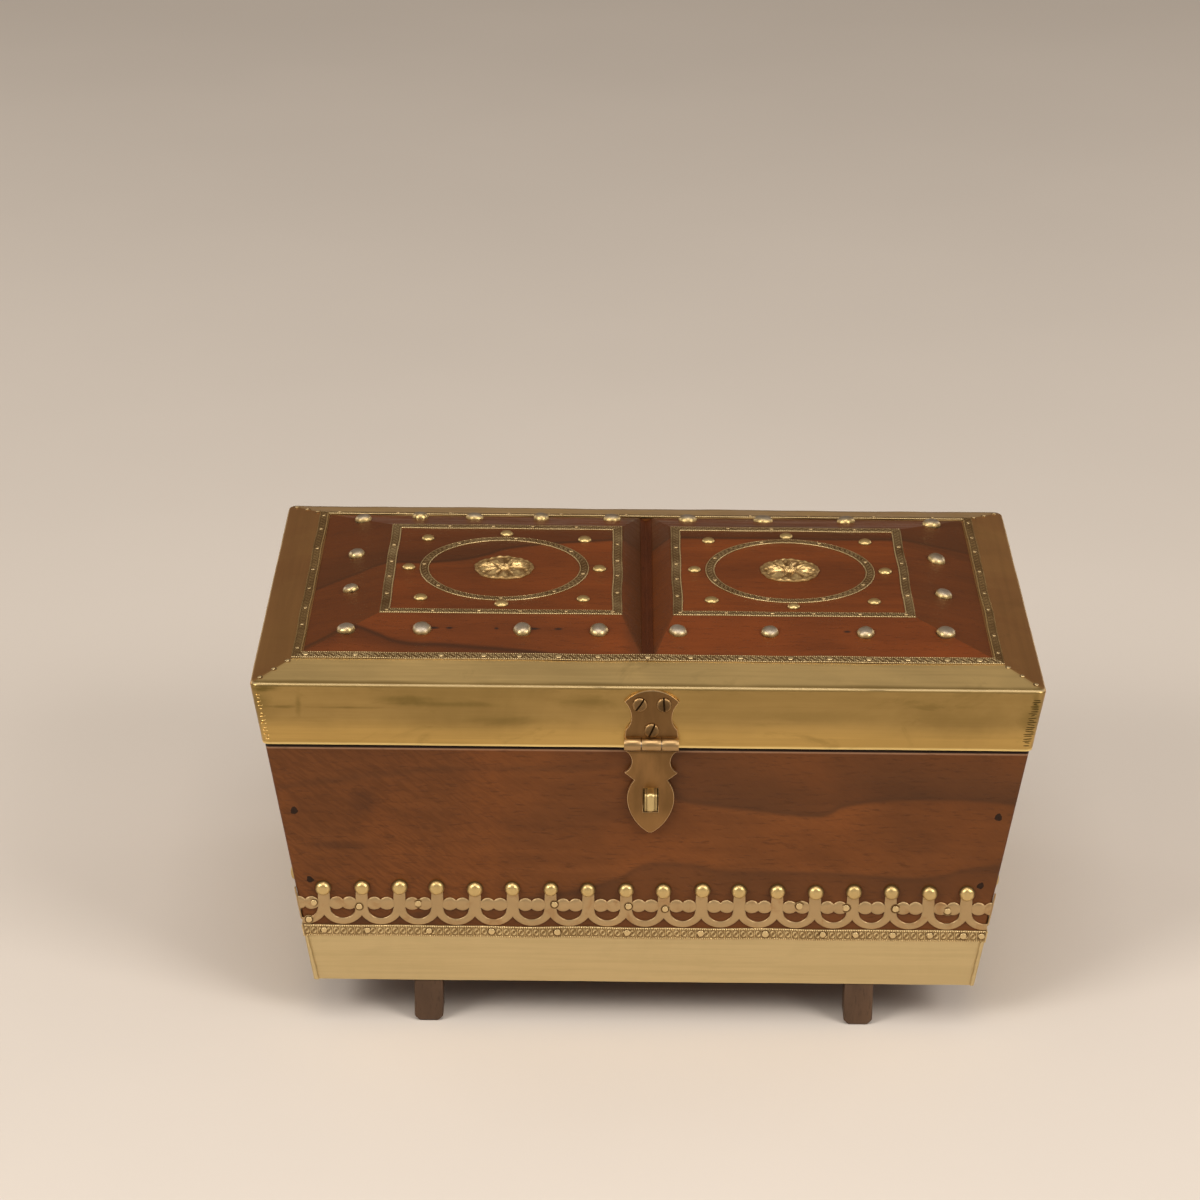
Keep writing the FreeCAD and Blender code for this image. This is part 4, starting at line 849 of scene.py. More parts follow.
def lid_levels(grow):
    """Levels of the lid's sheet, from its lower edge up the wall, over the ridge and up the
    slope to the window. grow is how far they lie inside its outer face."""
    ridge, corner = 1.3 * MM, 3.0 * MM
    rows = [(LID_HALF - (RIDGE - z) * LEAN, LID_HALF_WIDE, corner, z)
            for z in np.linspace(LID_BOTTOM, RIDGE - ridge, 9)]
    bend, lift = 0.43 * math.pi, 0.28 * MM
    for t in np.linspace(0, 1, 7)[1:]:
        inward = ridge * (1 - math.cos(bend * t))
        z = RIDGE - ridge * (1 - math.sin(bend * t)) + lift * t
        rows.append((LID_HALF - inward - ridge * (1 - t) * LEAN, LID_HALF_WIDE - inward, corner, z))
    end_x, end_y, _, end_z = rows[-1]
    for t in np.linspace(0, 1, 12)[1:]:
        rows.append((end_x + (LID_HALF - SLOPE_END - end_x) * t,
                     end_y + (LID_HALF_WIDE - SLOPE_LONG - end_y) * t,
                     corner * (1 - t) + 0.02 * MM, end_z + (WINDOW_TOP - end_z) * t))
    half_x, half_y, corner, z = np.array(rows).T[..., None]
    inside = rounded_rectangles(half_x - grow, half_y - grow, np.maximum(corner - grow, 0.01 * MM), z)
    on_slope = (half_x < LID_HALF - 1.5 * MM) | (z > RIDGE)
    inside[..., 2] -= np.where(on_slope, grow * 0.6, 0.0)
    return inside


class CHEST_OT_lid_brass(bpy.types.Operator):
    """Makes the brass folded over the lid's frame, rounded at its ridge and its upright corners"""
    bl_idname = "object.chest_lid_brass"
    bl_label = "Lid brass"

    def execute(self, context):
        outer = lid_levels(0.0)
        x, y, z = np.moveaxis(outer.copy(), -1, 0)
        swell = wavy(x, y, z, 0.22 * MM)
        long_side = np.abs(y) > LID_HALF_WIDE - 1.6 * MM
        outer[..., 0] -= np.where(np.abs(x) > LID_HALF - 6 * MM, np.sign(x) * np.abs(swell) * 0.8, 0)
        outer[..., 1] += np.where(long_side, np.sign(y) * (swell + 0.02 * MM), 0)
        outer[..., 2] += np.where(z < RIDGE - 0.1 * MM, 0, swell * 0.8 - 0.12 * MM)
        shell = np.concatenate([outer, lid_levels(0.6 * MM)[::-1]])
        shell[..., 1] += LID_MIDDLE
        hinged = (shell[..., 1] > LID_BACK - 4 * MM) & (shell[..., 2] < LID_BOTTOM + 0.1 * MM)
        shell[..., 2] += np.where(hinged, 0.35 * MM, 0)
        ridge_level, fold_width = 12.0, 1.1
        fold = np.exp(-((np.arange(len(shell)) - ridge_level) / fold_width) ** 2)
        sheet = add("lid_sheet", shell.transpose(1, 0, 2), "lid_brass", "lid", "lid_brass", "lid_brass_front",
                    "lid_brass_back", "lid_brass_left", "lid_brass_right", loop=True, crease=40, fold=fold)
        # The faces nearer the ends take the redder copy of the lid brass: a painted reflection.
        sheet.data.materials.append(finish_of("lid_end_painted_reflection_brass"))
        centres = np.abs(read(sheet.data.polygons, "center") - (0, LID_MIDDLE, 0))
        from_end = (LID_HALF - centres[:, 0]) / SLOPE_END
        from_side = (LID_HALF_WIDE - centres[:, 1]) / SLOPE_LONG
        sheet.data.polygons.foreach_set("material_index", (from_end < from_side).astype(np.int32))
        self.corner_folds()
        return {"FINISHED"}

    def corner_folds(self):
        """Small bowed ridges across the front's two upright corners: half ellipses, lower
        towards both ends."""
        share = np.linspace(-1, 1, 9)[None]
        bulge = (np.sqrt(np.clip(1 - share ** 2, 0, 1)) + 0.02)[..., None]
        turn = np.linspace(0, TAU, 8, endpoint=False)
        folds, tones = [], []
        # The left folds are pale, a painted highlight, and the right ones dark, painted shade in the creases.
        for side, pitch, half, inset, rise, tone in (
                (-1, 1.6 * sizes().seam_pitch, 0.85 * MM, 2.6 * MM, 0.36 * MM, 0.9),
                (1, sizes().seam_pitch, 1.7 * MM, 3.3 * MM, 0.12 * MM, 0.0)):
            count = int((RIDGE - LID_BOTTOM - 5.0 * MM) / pitch)
            z = LID_BOTTOM + 2.5 * MM + np.arange(count)[:, None] * pitch
            uneven = rough_turns(count, 1.0, 71 + side)
            x = side * (LID_HALF - (RIDGE - z) * LEAN - inset) + 0.2 * MM * uneven[:, 2:3]
            z = z + 0.12 * pitch * uneven[:, 3:]
            half = half * (1 + 0.25 * uneven[:, :1])
            sway = 0.16 * MM * uneven[:, 1:2] * share
            skin = LID_FRONT - wavy(x, -LID_HALF_WIDE, z, 0.22 * MM)[..., None]
            folds.append(np.stack(np.broadcast_arrays(
                (x + half * share)[..., None], skin - rise * bulge * np.sin(turn),
                (z + sway)[..., None] + 0.22 * MM * bulge * np.cos(turn)), -1))
            tones.append(np.full(folds[-1].shape[:3], tone))
        add("lid_corner_folds", np.concatenate(folds), "seam_brass", "lid", "lid_brass",
            relief=np.concatenate(tones))


# Embossed strips

def emboss(u, v, pitch):
    """Height, 0 to 1, of the embossed strip at u along and v across (0 to 1): teeth along
    both edges, and between them a row of round eyes, each in two arcs, with an upright bar
    and four corner dots between each two."""
    width, tooth, eye_radius, line = 4.2 * MM, 0.86 * MM, 0.80 * MM, 0.30 * MM
    y = (v - 0.5) * width
    x = ((u / pitch) % 1.0 - 0.5) * pitch
    teeth = 0.5 + 0.5 * np.cos(TAU * u / tooth)
    side = np.abs(v - 0.5)
    edge = np.where(side > 0.36, 0.10 + 0.85 * teeth, 0.0)
    edge = np.where(side > 0.46, 0.75, edge)
    arcs = 0.66 + 0.34 * np.sin(2 * np.arctan2(y, x))
    eye = np.exp(-((np.hypot(x, y * 0.92) - eye_radius) / line) ** 2) * arcs
    bar = np.exp(-((np.abs(x) - pitch / 2) / (0.20 * MM)) ** 2) * 0.70
    dots = np.exp(-((np.abs(x) - 0.30 * pitch) ** 2 + (np.abs(y) - 1.30 * MM) ** 2) / (0.24 * MM) ** 2) * 0.55
    middle = np.maximum(np.maximum(eye, bar), dots) * np.clip((0.37 - side) / 0.03, 0, 1)
    return np.clip(np.maximum(edge, middle), 0, 1)


ACROSS = np.array([0.0, 0.02, 0.06, 0.10, 0.125, 0.15, 0.20, 0.25, 0.31, 0.37, 0.44, 0.50,
                   0.56, 0.63, 0.69, 0.75, 0.80, 0.85, 0.875, 0.90, 0.94, 0.98, 1.0])


def strip_rings(line, inward, out, width, thickness, phase=0.0, mitre=(0, 0)):
    """Rings of an embossed ribbon: line (k, 3) is its outer edge, inward (k, 3) the unit
    direction across it, out the outward one. mitre moves each end along by a share of
    the width as the ribbon is crossed."""
    steps = np.concatenate([[0], np.cumsum(np.linalg.norm(np.diff(line, axis=0), axis=1))])
    across = np.broadcast_to(ACROSS, (len(line), len(ACROSS)))
    share = (steps / steps[-1])[:, None]
    travel = (mitre[0] * (1 - share) - mitre[1] * share) * across * width
    relief = emboss(steps[:, None] + travel + phase, across, sizes().motif_pitch)
    lift = thickness * (0.52 + 0.48 * relief)
    lift[:, [1, -2]] *= 0.8
    lift[:, [0, -1]] = 0.0
    # The side walls get relief 0 and so the dark colour: a painted shadow along the strips' edges.
    relief[:, [0, -1]] = 0.0
    tangent = unit(np.gradient(line, axis=0))
    points = (line[:, None] + inward[:, None] * (across * width)[..., None]
              + tangent[:, None] * travel[..., None] + out[:, None] * lift[..., None])
    return points, relief


def straight(start, end, inward, out, width, thickness, phase=0.0, mitre=(0, 0)):
    """An embossed ribbon from start to end, sampled about five times a tooth, its edges a
    little wavy."""
    start, end = np.array(start, float), np.array(end, float)
    far = np.linalg.norm(end - start)
    share = np.linspace(0, 1, max(int(far / (0.18 * MM)), 2))[:, None]
    along = share * far
    inward, out = (np.broadcast_to(unit(np.array(v, float)), (len(share), 3)) for v in (inward, out))
    wave = np.sin(170 * along + 40 * start.sum()) + np.sin(97 * along)
    line = start + (end - start) * share + inward * 0.13 * MM * np.sin(math.pi * share) ** 0.5 * wave
    return strip_rings(line, inward, out, width, thickness, phase, mitre)


def ribbon(name, runs, body, node, finish="strip_brass"):
    """One piece of several straight or curved embossed ribbons, all with as many rings as
    the longest."""
    longest = max(len(rings) for rings, _ in runs)
    verts, tones = [], []
    for rings, relief in runs:
        index = np.round(np.linspace(0, len(rings) - 1, longest)).astype(int)
        verts.append(rings[index])
        tones.append(relief[index])
    add(name, np.array(verts), finish, body, "embossed_brass", node, relief=np.array(tones), crease=60)


class CHEST_OT_skirt_strips(bpy.types.Operator):
    """Makes the embossed strips along the top of the skirt"""
    bl_idname = "object.chest_skirt_strips"
    bl_label = "Skirt strips"

    def execute(self, context):
        thick, width, half = 0.95 * MM, STRIP_HIGH - STRIP_LOW + 0.45 * MM, case_half(STRIP_HIGH)
        runs = {}
        for name, place, sign in (("front", CASE_FRONT, -1), ("back", CASE_BACK, 1)):
            runs[name] = straight((-half, place, STRIP_HIGH), (half, place, STRIP_HIGH), (0, 0, -1),
                                  (0, sign, 0), width, thick, 0.3 * MM, (LEAN, LEAN))
        for side, name in ((-1, "left"), (1, "right")):
            runs[name] = straight((side * half, CASE_FRONT - thick, STRIP_HIGH),
                                  (side * half, CASE_BACK + thick, STRIP_HIGH), (-side * LEAN, 0, -1),
                                  (side, 0, -LEAN), width * math.hypot(1, LEAN), thick)
        for name, run in runs.items():
            ribbon("embossed_skirt_" + name, [run], "case", "skirt_strip_" + name, "pale_strip_brass")
        return {"FINISHED"}


def lid_strip_places():
    """Outer corners of the strips round the window, on the sloping sheet, and the slopes'
    directions: name, start, end, inward, outward."""
    out = 4.0 * MM
    x, y, top = LID_HALF - SLOPE_END + out, LID_HALF_WIDE - SLOPE_LONG + out, WINDOW_TOP - 0.03 * MM
    steep_x, steep_y = SLOPE_RISE / SLOPE_END, SLOPE_RISE / SLOPE_LONG
    places = []
    for name, sign in (("front", -1), ("back", 1)):
        edge, z = LID_MIDDLE + sign * y, top - out * steep_y
        places.append((name, (-x, edge, z), (x, edge, z), (0, -sign, steep_y), (0, sign * steep_y, 1)))
    for name, sign in (("left", -1), ("right", 1)):
        edge, z = sign * x, top - out * steep_x
        places.append((name, (edge, LID_MIDDLE - y, z), (edge, LID_MIDDLE + y, z), (-sign, 0, steep_x),
                       (sign * steep_x, 0, 1)))
    return [(name, *(np.array(v, float) for v in rest)) for name, *rest in places]


class CHEST_OT_lid_strips(bpy.types.Operator):
    """Makes the embossed strips round the window of the lid; those at the ends get a dull, flat tone, painted
    shade, and a lighter inner edge, a painted highlight
    """
    bl_idname = "object.chest_lid_strips"
    bl_label = "Lid strips"

    def execute(self, context):
        for name, start, end, inward, out in lid_strip_places():
            points, relief = straight(start, end, inward, out, 4.1 * MM, 0.5 * MM, 0.4 * MM, (1, 1))
            finish = "strip_brass"
            # The strips at the ends get a darker brass and a dull, flat tone, painted shade, with a lighter
            # inner edge, a painted highlight.
            if name in ("left", "right"):
                finish = "painted_shade_strip_brass"
                relief = (0.20 + 0.28 * relief + 0.45 * (ACROSS > 0.87)) * (ACROSS < 1)
            ribbon("embossed_lid_" + name, [(points, relief)], "lid", "lid_strip_" + name, finish)
        return {"FINISHED"}


class CHEST_OT_frames(bpy.types.Operator):
    """Makes the square and the round embossed strips of both panels"""
    bl_idname = "object.chest_frames"
    bl_label = "Frames and rings"

    def execute(self, context):
        s = sizes()
        thick = 0.5 * MM
        inner_edge, both_edges = (ACROSS > 0.88) & (ACROSS < 1), (ACROSS == 0) | (ACROSS == 1)
        for side, name in ((-1, "left"), (1, "right")):
            (x0, y0, z0), (x1, y1, _) = low("square_frame_" + name), high("square_frame_" + name)
            runs = []
            for ax, ay, bx, by, inward in ((x0, y0, x1, y0, (0, 1, 0)), (x0, y1, x1, y1, (0, -1, 0)),
                                           (x0, y0, x0, y1, (1, 0, 0)), (x1, y0, x1, y1, (-1, 0, 0))):
                points, relief = straight((ax, ay, z0), (bx, by, z0), inward, UP, s.frame_width, thick, 0,
                                          (1, 1))
                # The sides that run front to back get a dull, flat tone, painted shade, a lighter inner edge,
                # a painted highlight, and dark side walls, a painted shadow.
                if inward[0]:
                    relief = 0.20 + 0.28 * relief + 0.45 * inner_edge - 0.20 * both_edges
                runs.append((points, relief))
            ribbon("embossed_square_" + name, runs, "lid", "square_frame_" + name)
            centre = centre_of("ring_strip_" + name)
            turn = np.linspace(0, TAU, 1400) + 1.9
            radius = s.ring_radius - 0.15 * MM + 0.15 * MM * np.cos(3 * turn + side)
            cos, sin, flat = np.cos(turn), np.sin(turn), np.zeros(len(turn))
            line = np.stack([centre[0] + radius * cos, centre[1] + radius * sin, flat + z0], -1)
            inward = np.stack([-cos, -sin, flat], -1)
            points, relief = strip_rings(line, inward, np.broadcast_to(UP, line.shape), s.ring_width, thick)
            # Where the ring runs front to back it is duller, painted shade, with lighter edges, a painted
            # highlight.
            worn = (cos ** 2)[:, None] * ((ACROSS > 0) & (ACROSS < 1))
            relief = relief * (0.85 - 0.5 * worn) + worn * (0.14 + 0.30 * (np.abs(ACROSS - 0.5) > 0.4))
            ribbon("embossed_ring_" + name, [(points, relief)], "lid", "ring_strip_" + name)
        return {"FINISHED"}


# Pierced bands

def band_profile(du):
    """Heights of the band's edges at a distance du from the middle between two nails:
    scallop, opening's lower edge, opening's upper edge, top. Circles give the scallop,
    the opening and the two lobes; a tab rises near the nails."""
    s = sizes()
    du = np.abs(du)

    def circle(radius, away):
        return np.sqrt(np.maximum(radius ** 2 - away ** 2, 0))

    lobe = circle(s.bead_radius, du - s.tab_pitch / 6)
    centre = s.scallop_width + s.opening_radius
    open_low, open_high = centre - circle(s.opening_radius, du), s.bead_height - 0.82 * lobe
    shut, tip = (open_low >= open_high) | (du > s.opening_radius), centre - 0.3 * MM
    open_low, open_high = np.where(shut, tip, open_low), np.where(shut, tip, open_high)
    on_tab = du > (s.tab_pitch - s.tab_width) / 2
    top = np.where(on_tab, s.nail_height, s.bead_height + lobe)
    return s.scallop_radius - circle(s.scallop_radius, du), open_low, open_high, top


def band_runs(tabs, place, limit):
    """Both ribbons of one band on a face: below the openings and above them. limit(w)
    gives half the width of the face at a height, where the band is cut off."""
    s = sizes()
    edge = (s.tab_pitch - s.tab_width) / 2
    cell = np.concatenate([np.linspace(-edge, edge, 45), [edge + 1e-7],
                           np.linspace(edge, s.tab_pitch / 2, 6)[1:]])
    cell = np.unique(np.round(np.concatenate([-cell[::-1][:6], cell]), 9))
    centres = np.arange(len(tabs) + 1) * s.tab_pitch + tabs[0] - s.tab_pitch / 2
    u, du = (centres[:, None] + cell).ravel(), np.tile(cell, len(centres))
    keep = np.concatenate([[True], np.diff(u) > 1e-8])
    u, du = u[keep], du[keep]
    lower, open_low, open_high, top = band_profile(du)
    gap, whole = np.clip((open_high - open_low) / (0.8 * MM), 0, 1), np.ones_like(u)
    full, round_off, none = s.band_thickness, 0.16 * MM, np.zeros_like(u)
    runs = []
    for foot, head, soft_foot, soft_head in ((lower, open_low, whole, gap), (open_high, top, gap, whole)):
        inset = np.minimum(0.22 * MM, (head - foot) * 0.3)
        across = np.stack([foot, foot, foot + inset, foot + (head - foot) * 0.32, (foot + head) / 2,
                           foot + (head - foot) * 0.68, head - inset, head, head], 1)
        lift = np.stack([none, full - round_off * soft_foot, *[none + full] * 5,
                         full - round_off * soft_head, none], 1)
        bead_u = np.abs(np.abs(du) - s.tab_pitch / 6)[:, None]
        from_bead = np.hypot(bead_u, across - s.bead_height) / s.bead_radius
        swell = 0.16 * MM * np.clip(1 - from_bead ** 2, 0, 1)
        groove = 0.06 * MM * np.exp(-((from_bead - 1) / 0.10) ** 2)
        raised = lift > 0.3 * MM
        lift = np.where(raised, lift + swell - groove - 0.05 * MM, lift)
        wear = 0.72 + 0.28 * np.clip(lift / full, 0, 1)
        wear[:, [1, -2]] = 0.98
        wear[:, [0, -1]] = 0.35
        wear -= 0.16 * np.exp(-((from_bead - 1) / 0.09) ** 2) * (lift > 0.3 * MM)
        wide = np.broadcast_to(u[:, None], across.shape)
        stop = limit(across)
        runs.append((on_face(place, np.clip(wide, -stop, stop), across, lift), wear))
    return runs


def tab_places(span):
    """Nails along a face: as many as fit at the pitch, about its middle."""
    count = int(span / sizes().tab_pitch)
    return (np.arange(count) - (count - 1) / 2) * sizes().tab_pitch


def band_faces():
    """Each band's name, the places of its nails, its face, and half the face's width as a
    function of the height."""
    front_tabs = tab_places(2 * case_half(BAND_LOW + sizes().nail_height))
    end_tabs = tab_places(CASE_BACK - CASE_FRONT)
    end_half = (CASE_BACK - CASE_FRONT) / 2 + 0.55 * MM
    return (("front", front_tabs, front_face(BAND_LOW), lambda w: case_half(BAND_LOW + w)),
            ("left", end_tabs, end_face(-1, BAND_LOW), lambda w: end_half),
            ("right", end_tabs, end_face(1, BAND_LOW), lambda w: end_half))


class CHEST_OT_bands(bpy.types.Operator):
    """Makes the pierced brass bands of the front and both ends"""
    bl_idname = "object.chest_bands"
    bl_label = "Pierced bands"

    def execute(self, context):
        for name, tabs, place, limit in band_faces():
            rings, relief = (np.array(v) for v in zip(*band_runs(tabs, place, limit)))
            add("pierced_band_" + name, rings, "band_brass", "case", "band_brass", "band_" + name,
                relief=relief, crease=50)
        return {"FINISHED"}


# Nails

def heads(points, ups, turn, r, h):
    """Rings (m, k, n, 3) of heads at points (m, 3), square to ups (m, 3): r from the
    middle at each turn, and h out along up."""
    ups = unit(ups)
    a = unit(np.cross(ups, np.where(np.abs(ups[:, :1]) < 0.9, [[1.0, 0, 0]], [[0, 1.0, 0]])))
    b = np.cross(ups, a)
    points, ups, a, b = (v[:, None, None] for v in (points, ups, a, b))
    return points + a * (r * np.cos(turn))[..., None] + b * (r * np.sin(turn))[..., None] + ups * h[..., None]


def dome_rings(points, ups, diameter, rise, seed, sink, flat, spread=0.035):
    """Domed heads at points (m, 3), each square to its up (m, 3). Latitude rings follow
    r = R cos(a) ^ (1 - flat) and h = H sin(a), a little uneven round each head and from head
    to head, and the foot goes down by sink."""
    rough = rough_turns(len(points), 1.0, seed)
    one, two, three, four = (rough[:, i:i + 1] for i in range(4))
    latitude = np.linspace(0.0, math.pi / 2 * 0.97, 9)[1:]
    radius = np.concatenate([[1.0, 1.0], np.cos(latitude) ** (1 - flat)])[:, None]
    height = np.concatenate([[-sink / rise, 0.0], np.sin(latitude)])[:, None]
    tone = np.concatenate([[0.0, 0.10], 0.72 * np.sin(latitude) ** 0.6])[:, None]
    turn = np.linspace(0, TAU, 28, endpoint=False)
    out_of_round = (1 + spread * one) * (1 + 0.5 * spread * two * np.cos(2 * turn + 3 * three)
                                         + 0.35 * spread * np.cos(5 * turn + 9 * four))
    lean = 0.25 * spread * diameter * (one * np.cos(turn) + two * np.sin(turn))[:, None]
    r = diameter / 2 * radius * out_of_round[:, None]
    h = rise * height * (1 + 0.6 * spread * three[..., None]) + lean * radius * (height > 0)
    return heads(points, ups, turn, r, h), np.broadcast_to(tone, r.shape)


class CHEST_OT_crest_nails(bpy.types.Operator):
    """Makes the dome nails over the bands' tabs"""
    bl_idname = "object.chest_crest_nails"
    bl_label = "Crest nails"

    def execute(self, context):
        s = sizes()
        spots, ups = [], []
        uneven = rough_turns(60, 0.22 * MM, 5)
        for _, tabs, place, _ in band_faces():
            shift, uneven = uneven[:len(tabs)], uneven[len(tabs):]
            spots.append(on_face(place, tabs + shift[:, 0], s.nail_height + shift[:, 1], s.band_thickness))
            ups.append(np.broadcast_to(place[3], (len(tabs), 3)))
        rings, tone = dome_rings(np.concatenate(spots), np.concatenate(ups), s.crest_nail,
                                 s.crest_nail_rise - 0.1 * MM, 11, 0.6 * MM, 0.35)
        add("crest_nail_heads", rings, "nail_brass", "case", "bright_brass", "crest_nails", relief=tone)
        return {"FINISHED"}


def panel_nail_places():
    """Feet and normals of the large nails on the bevels, and feet of the small ones on the
    fields. Rows run along each bevel, in shares of its length from the middle, and one nail
    sits on the hip at each corner. up is the share of the way up the bevel."""
    bevels, normals, fields = [], [], []
    (x0, y0, _), (x1, y1, _) = low("lid_panel_left"), high("lid_panel_right")
    middle, half_x, half_y = (y0 + y1) / 2, (x1 - x0) / 2, (y1 - y0) / 2
    end_run, long_run, length_between, frame_inset = 27.75 * MM, 25.89 * MM, 96.0 * MM, 9.55 * MM

    def nail(x, y, up, normal):
        bevels.append((x, middle + y, PANEL_EDGE_TOP + up * PANEL_RISE))
        normals.append(normal)

    for sign, row, up in ((-1, (-0.816, -0.409, -0.098, 0.024, 0.395, 0.784), 0.59),
                          (1, (-0.886, -0.648, -0.358, -0.049, 0.082, 0.413, 0.773), 0.275)):
        for place in row:
            nail(math.copysign(frame_inset, place) + place * length_between,
                 sign * (half_y - up * long_run), up, (0, sign * PANEL_RISE, long_run))
    for sign in (-1, 1):
        for place in (-0.371, 0.414):
            nail(sign * (half_x - 0.543 * end_run), place * (half_y - long_run), 0.543,
                 (sign * PANEL_RISE, 0, end_run))
    for sx, sy, up in ((-1, -1, 0.57), (1, -1, 0.62), (-1, 1, 0.55), (1, 1, 0.51)):
        nail(sx * (half_x - up * end_run), sy * (half_y - up * long_run), up,
             (sx * PANEL_RISE / end_run, sy * PANEL_RISE / long_run, 2))
    reach, strip = 43.65 * MM, 9.35 * MM
    near_x, near_y, corner = reach - 0.56 * strip, reach - 0.61 * strip, reach - 11.5 * MM
    for name in ("left", "right"):
        x, y, _ = centre_of("square_frame_" + name)
        for dx, dy in ((-near_x, 0), (near_x, 0), (0, -near_y), (0, near_y), (-corner, -corner),
                       (corner, -corner), (-corner, corner), (corner, corner)):
            fields.append((x + dx, y + dy, FIELD_TOP))
    return np.array(bevels), np.array(normals, float), np.array(fields)


class CHEST_OT_panel_nails(bpy.types.Operator):
    """Makes the large nails on the bevels and the small ones on the flat fields"""
    bl_idname = "object.chest_panel_nails"
    bl_label = "Panel nails"

    def execute(self, context):
        s = sizes()
        bevels, normals, fields = panel_nail_places()
        rings, tone = dome_rings(bevels, normals, s.bevel_nail, s.bevel_nail_rise - 0.15 * MM, 23, 1.2 * MM,
                                 0.30, 0.06)
        add("bevel_nail_heads", rings, "nail_silver", "lid", "nail_nickel", "bevel_nails", relief=tone)
        rings, tone = dome_rings(fields, np.broadcast_to(UP, fields.shape), s.field_nail,
                                 s.field_nail_rise - 0.1 * MM, 31, 0.4 * MM, 0.20)
        add("field_nail_heads", rings, "nail_brass", "lid", "bright_brass", "field_nails",
            relief=np.clip(1.3 * tone, 0, 1))
        return {"FINISHED"}


def tack_rings(points, ups, diameters, seed):
    """Small flat-headed pins, each in a pressed ring: a low rim, a groove and a head."""
    radius = np.array([1.55, 1.55, 1.40, 1.20, 1.06, 0.98, 0.90, 0.62, 0.12])[:, None] / 2
    height = np.array([-0.6, 0.06, 0.20, 0.12, 0.0, 0.62, 0.86, 0.97, 1.0])[:, None] * 0.42 * MM
    tone = np.array([0.2, 0.30, 0.40, 0.0, 0.0, 0.50, 0.80, 0.86, 0.86])[:, None]
    rough = rough_turns(len(points), 1.0, seed)
    turn = np.linspace(0, TAU, 18, endpoint=False)
    uneven = 1 + 0.05 * rough[:, :1] + 0.03 * np.cos(3 * turn + 4 * rough[:, 1:2])
    r = radius * diameters[:, None, None] * uneven[:, None]
    return heads(points, ups, turn, r, np.broadcast_to(height, r.shape)), np.broadcast_to(tone, r.shape)


# Shares of the way along each strip of the lid's window at which a pin sits

LID_TACKS = {
    "front": (0.02, 0.09, 0.21, 0.27, 0.32, 0.375, 0.43, 0.50, 0.56, 0.63, 0.70, 0.755, 0.81, 0.865,
              0.92, 0.965),
    "back": (0.03, 0.12, 0.20, 0.29, 0.37, 0.47, 0.56, 0.66, 0.75, 0.85, 0.94),
    "left": (0.05, 0.2, 0.31, 0.44, 0.57, 0.72, 0.86, 0.96),
    "right": (0.06, 0.17, 0.34, 0.45, 0.60, 0.74, 0.84, 0.95)}


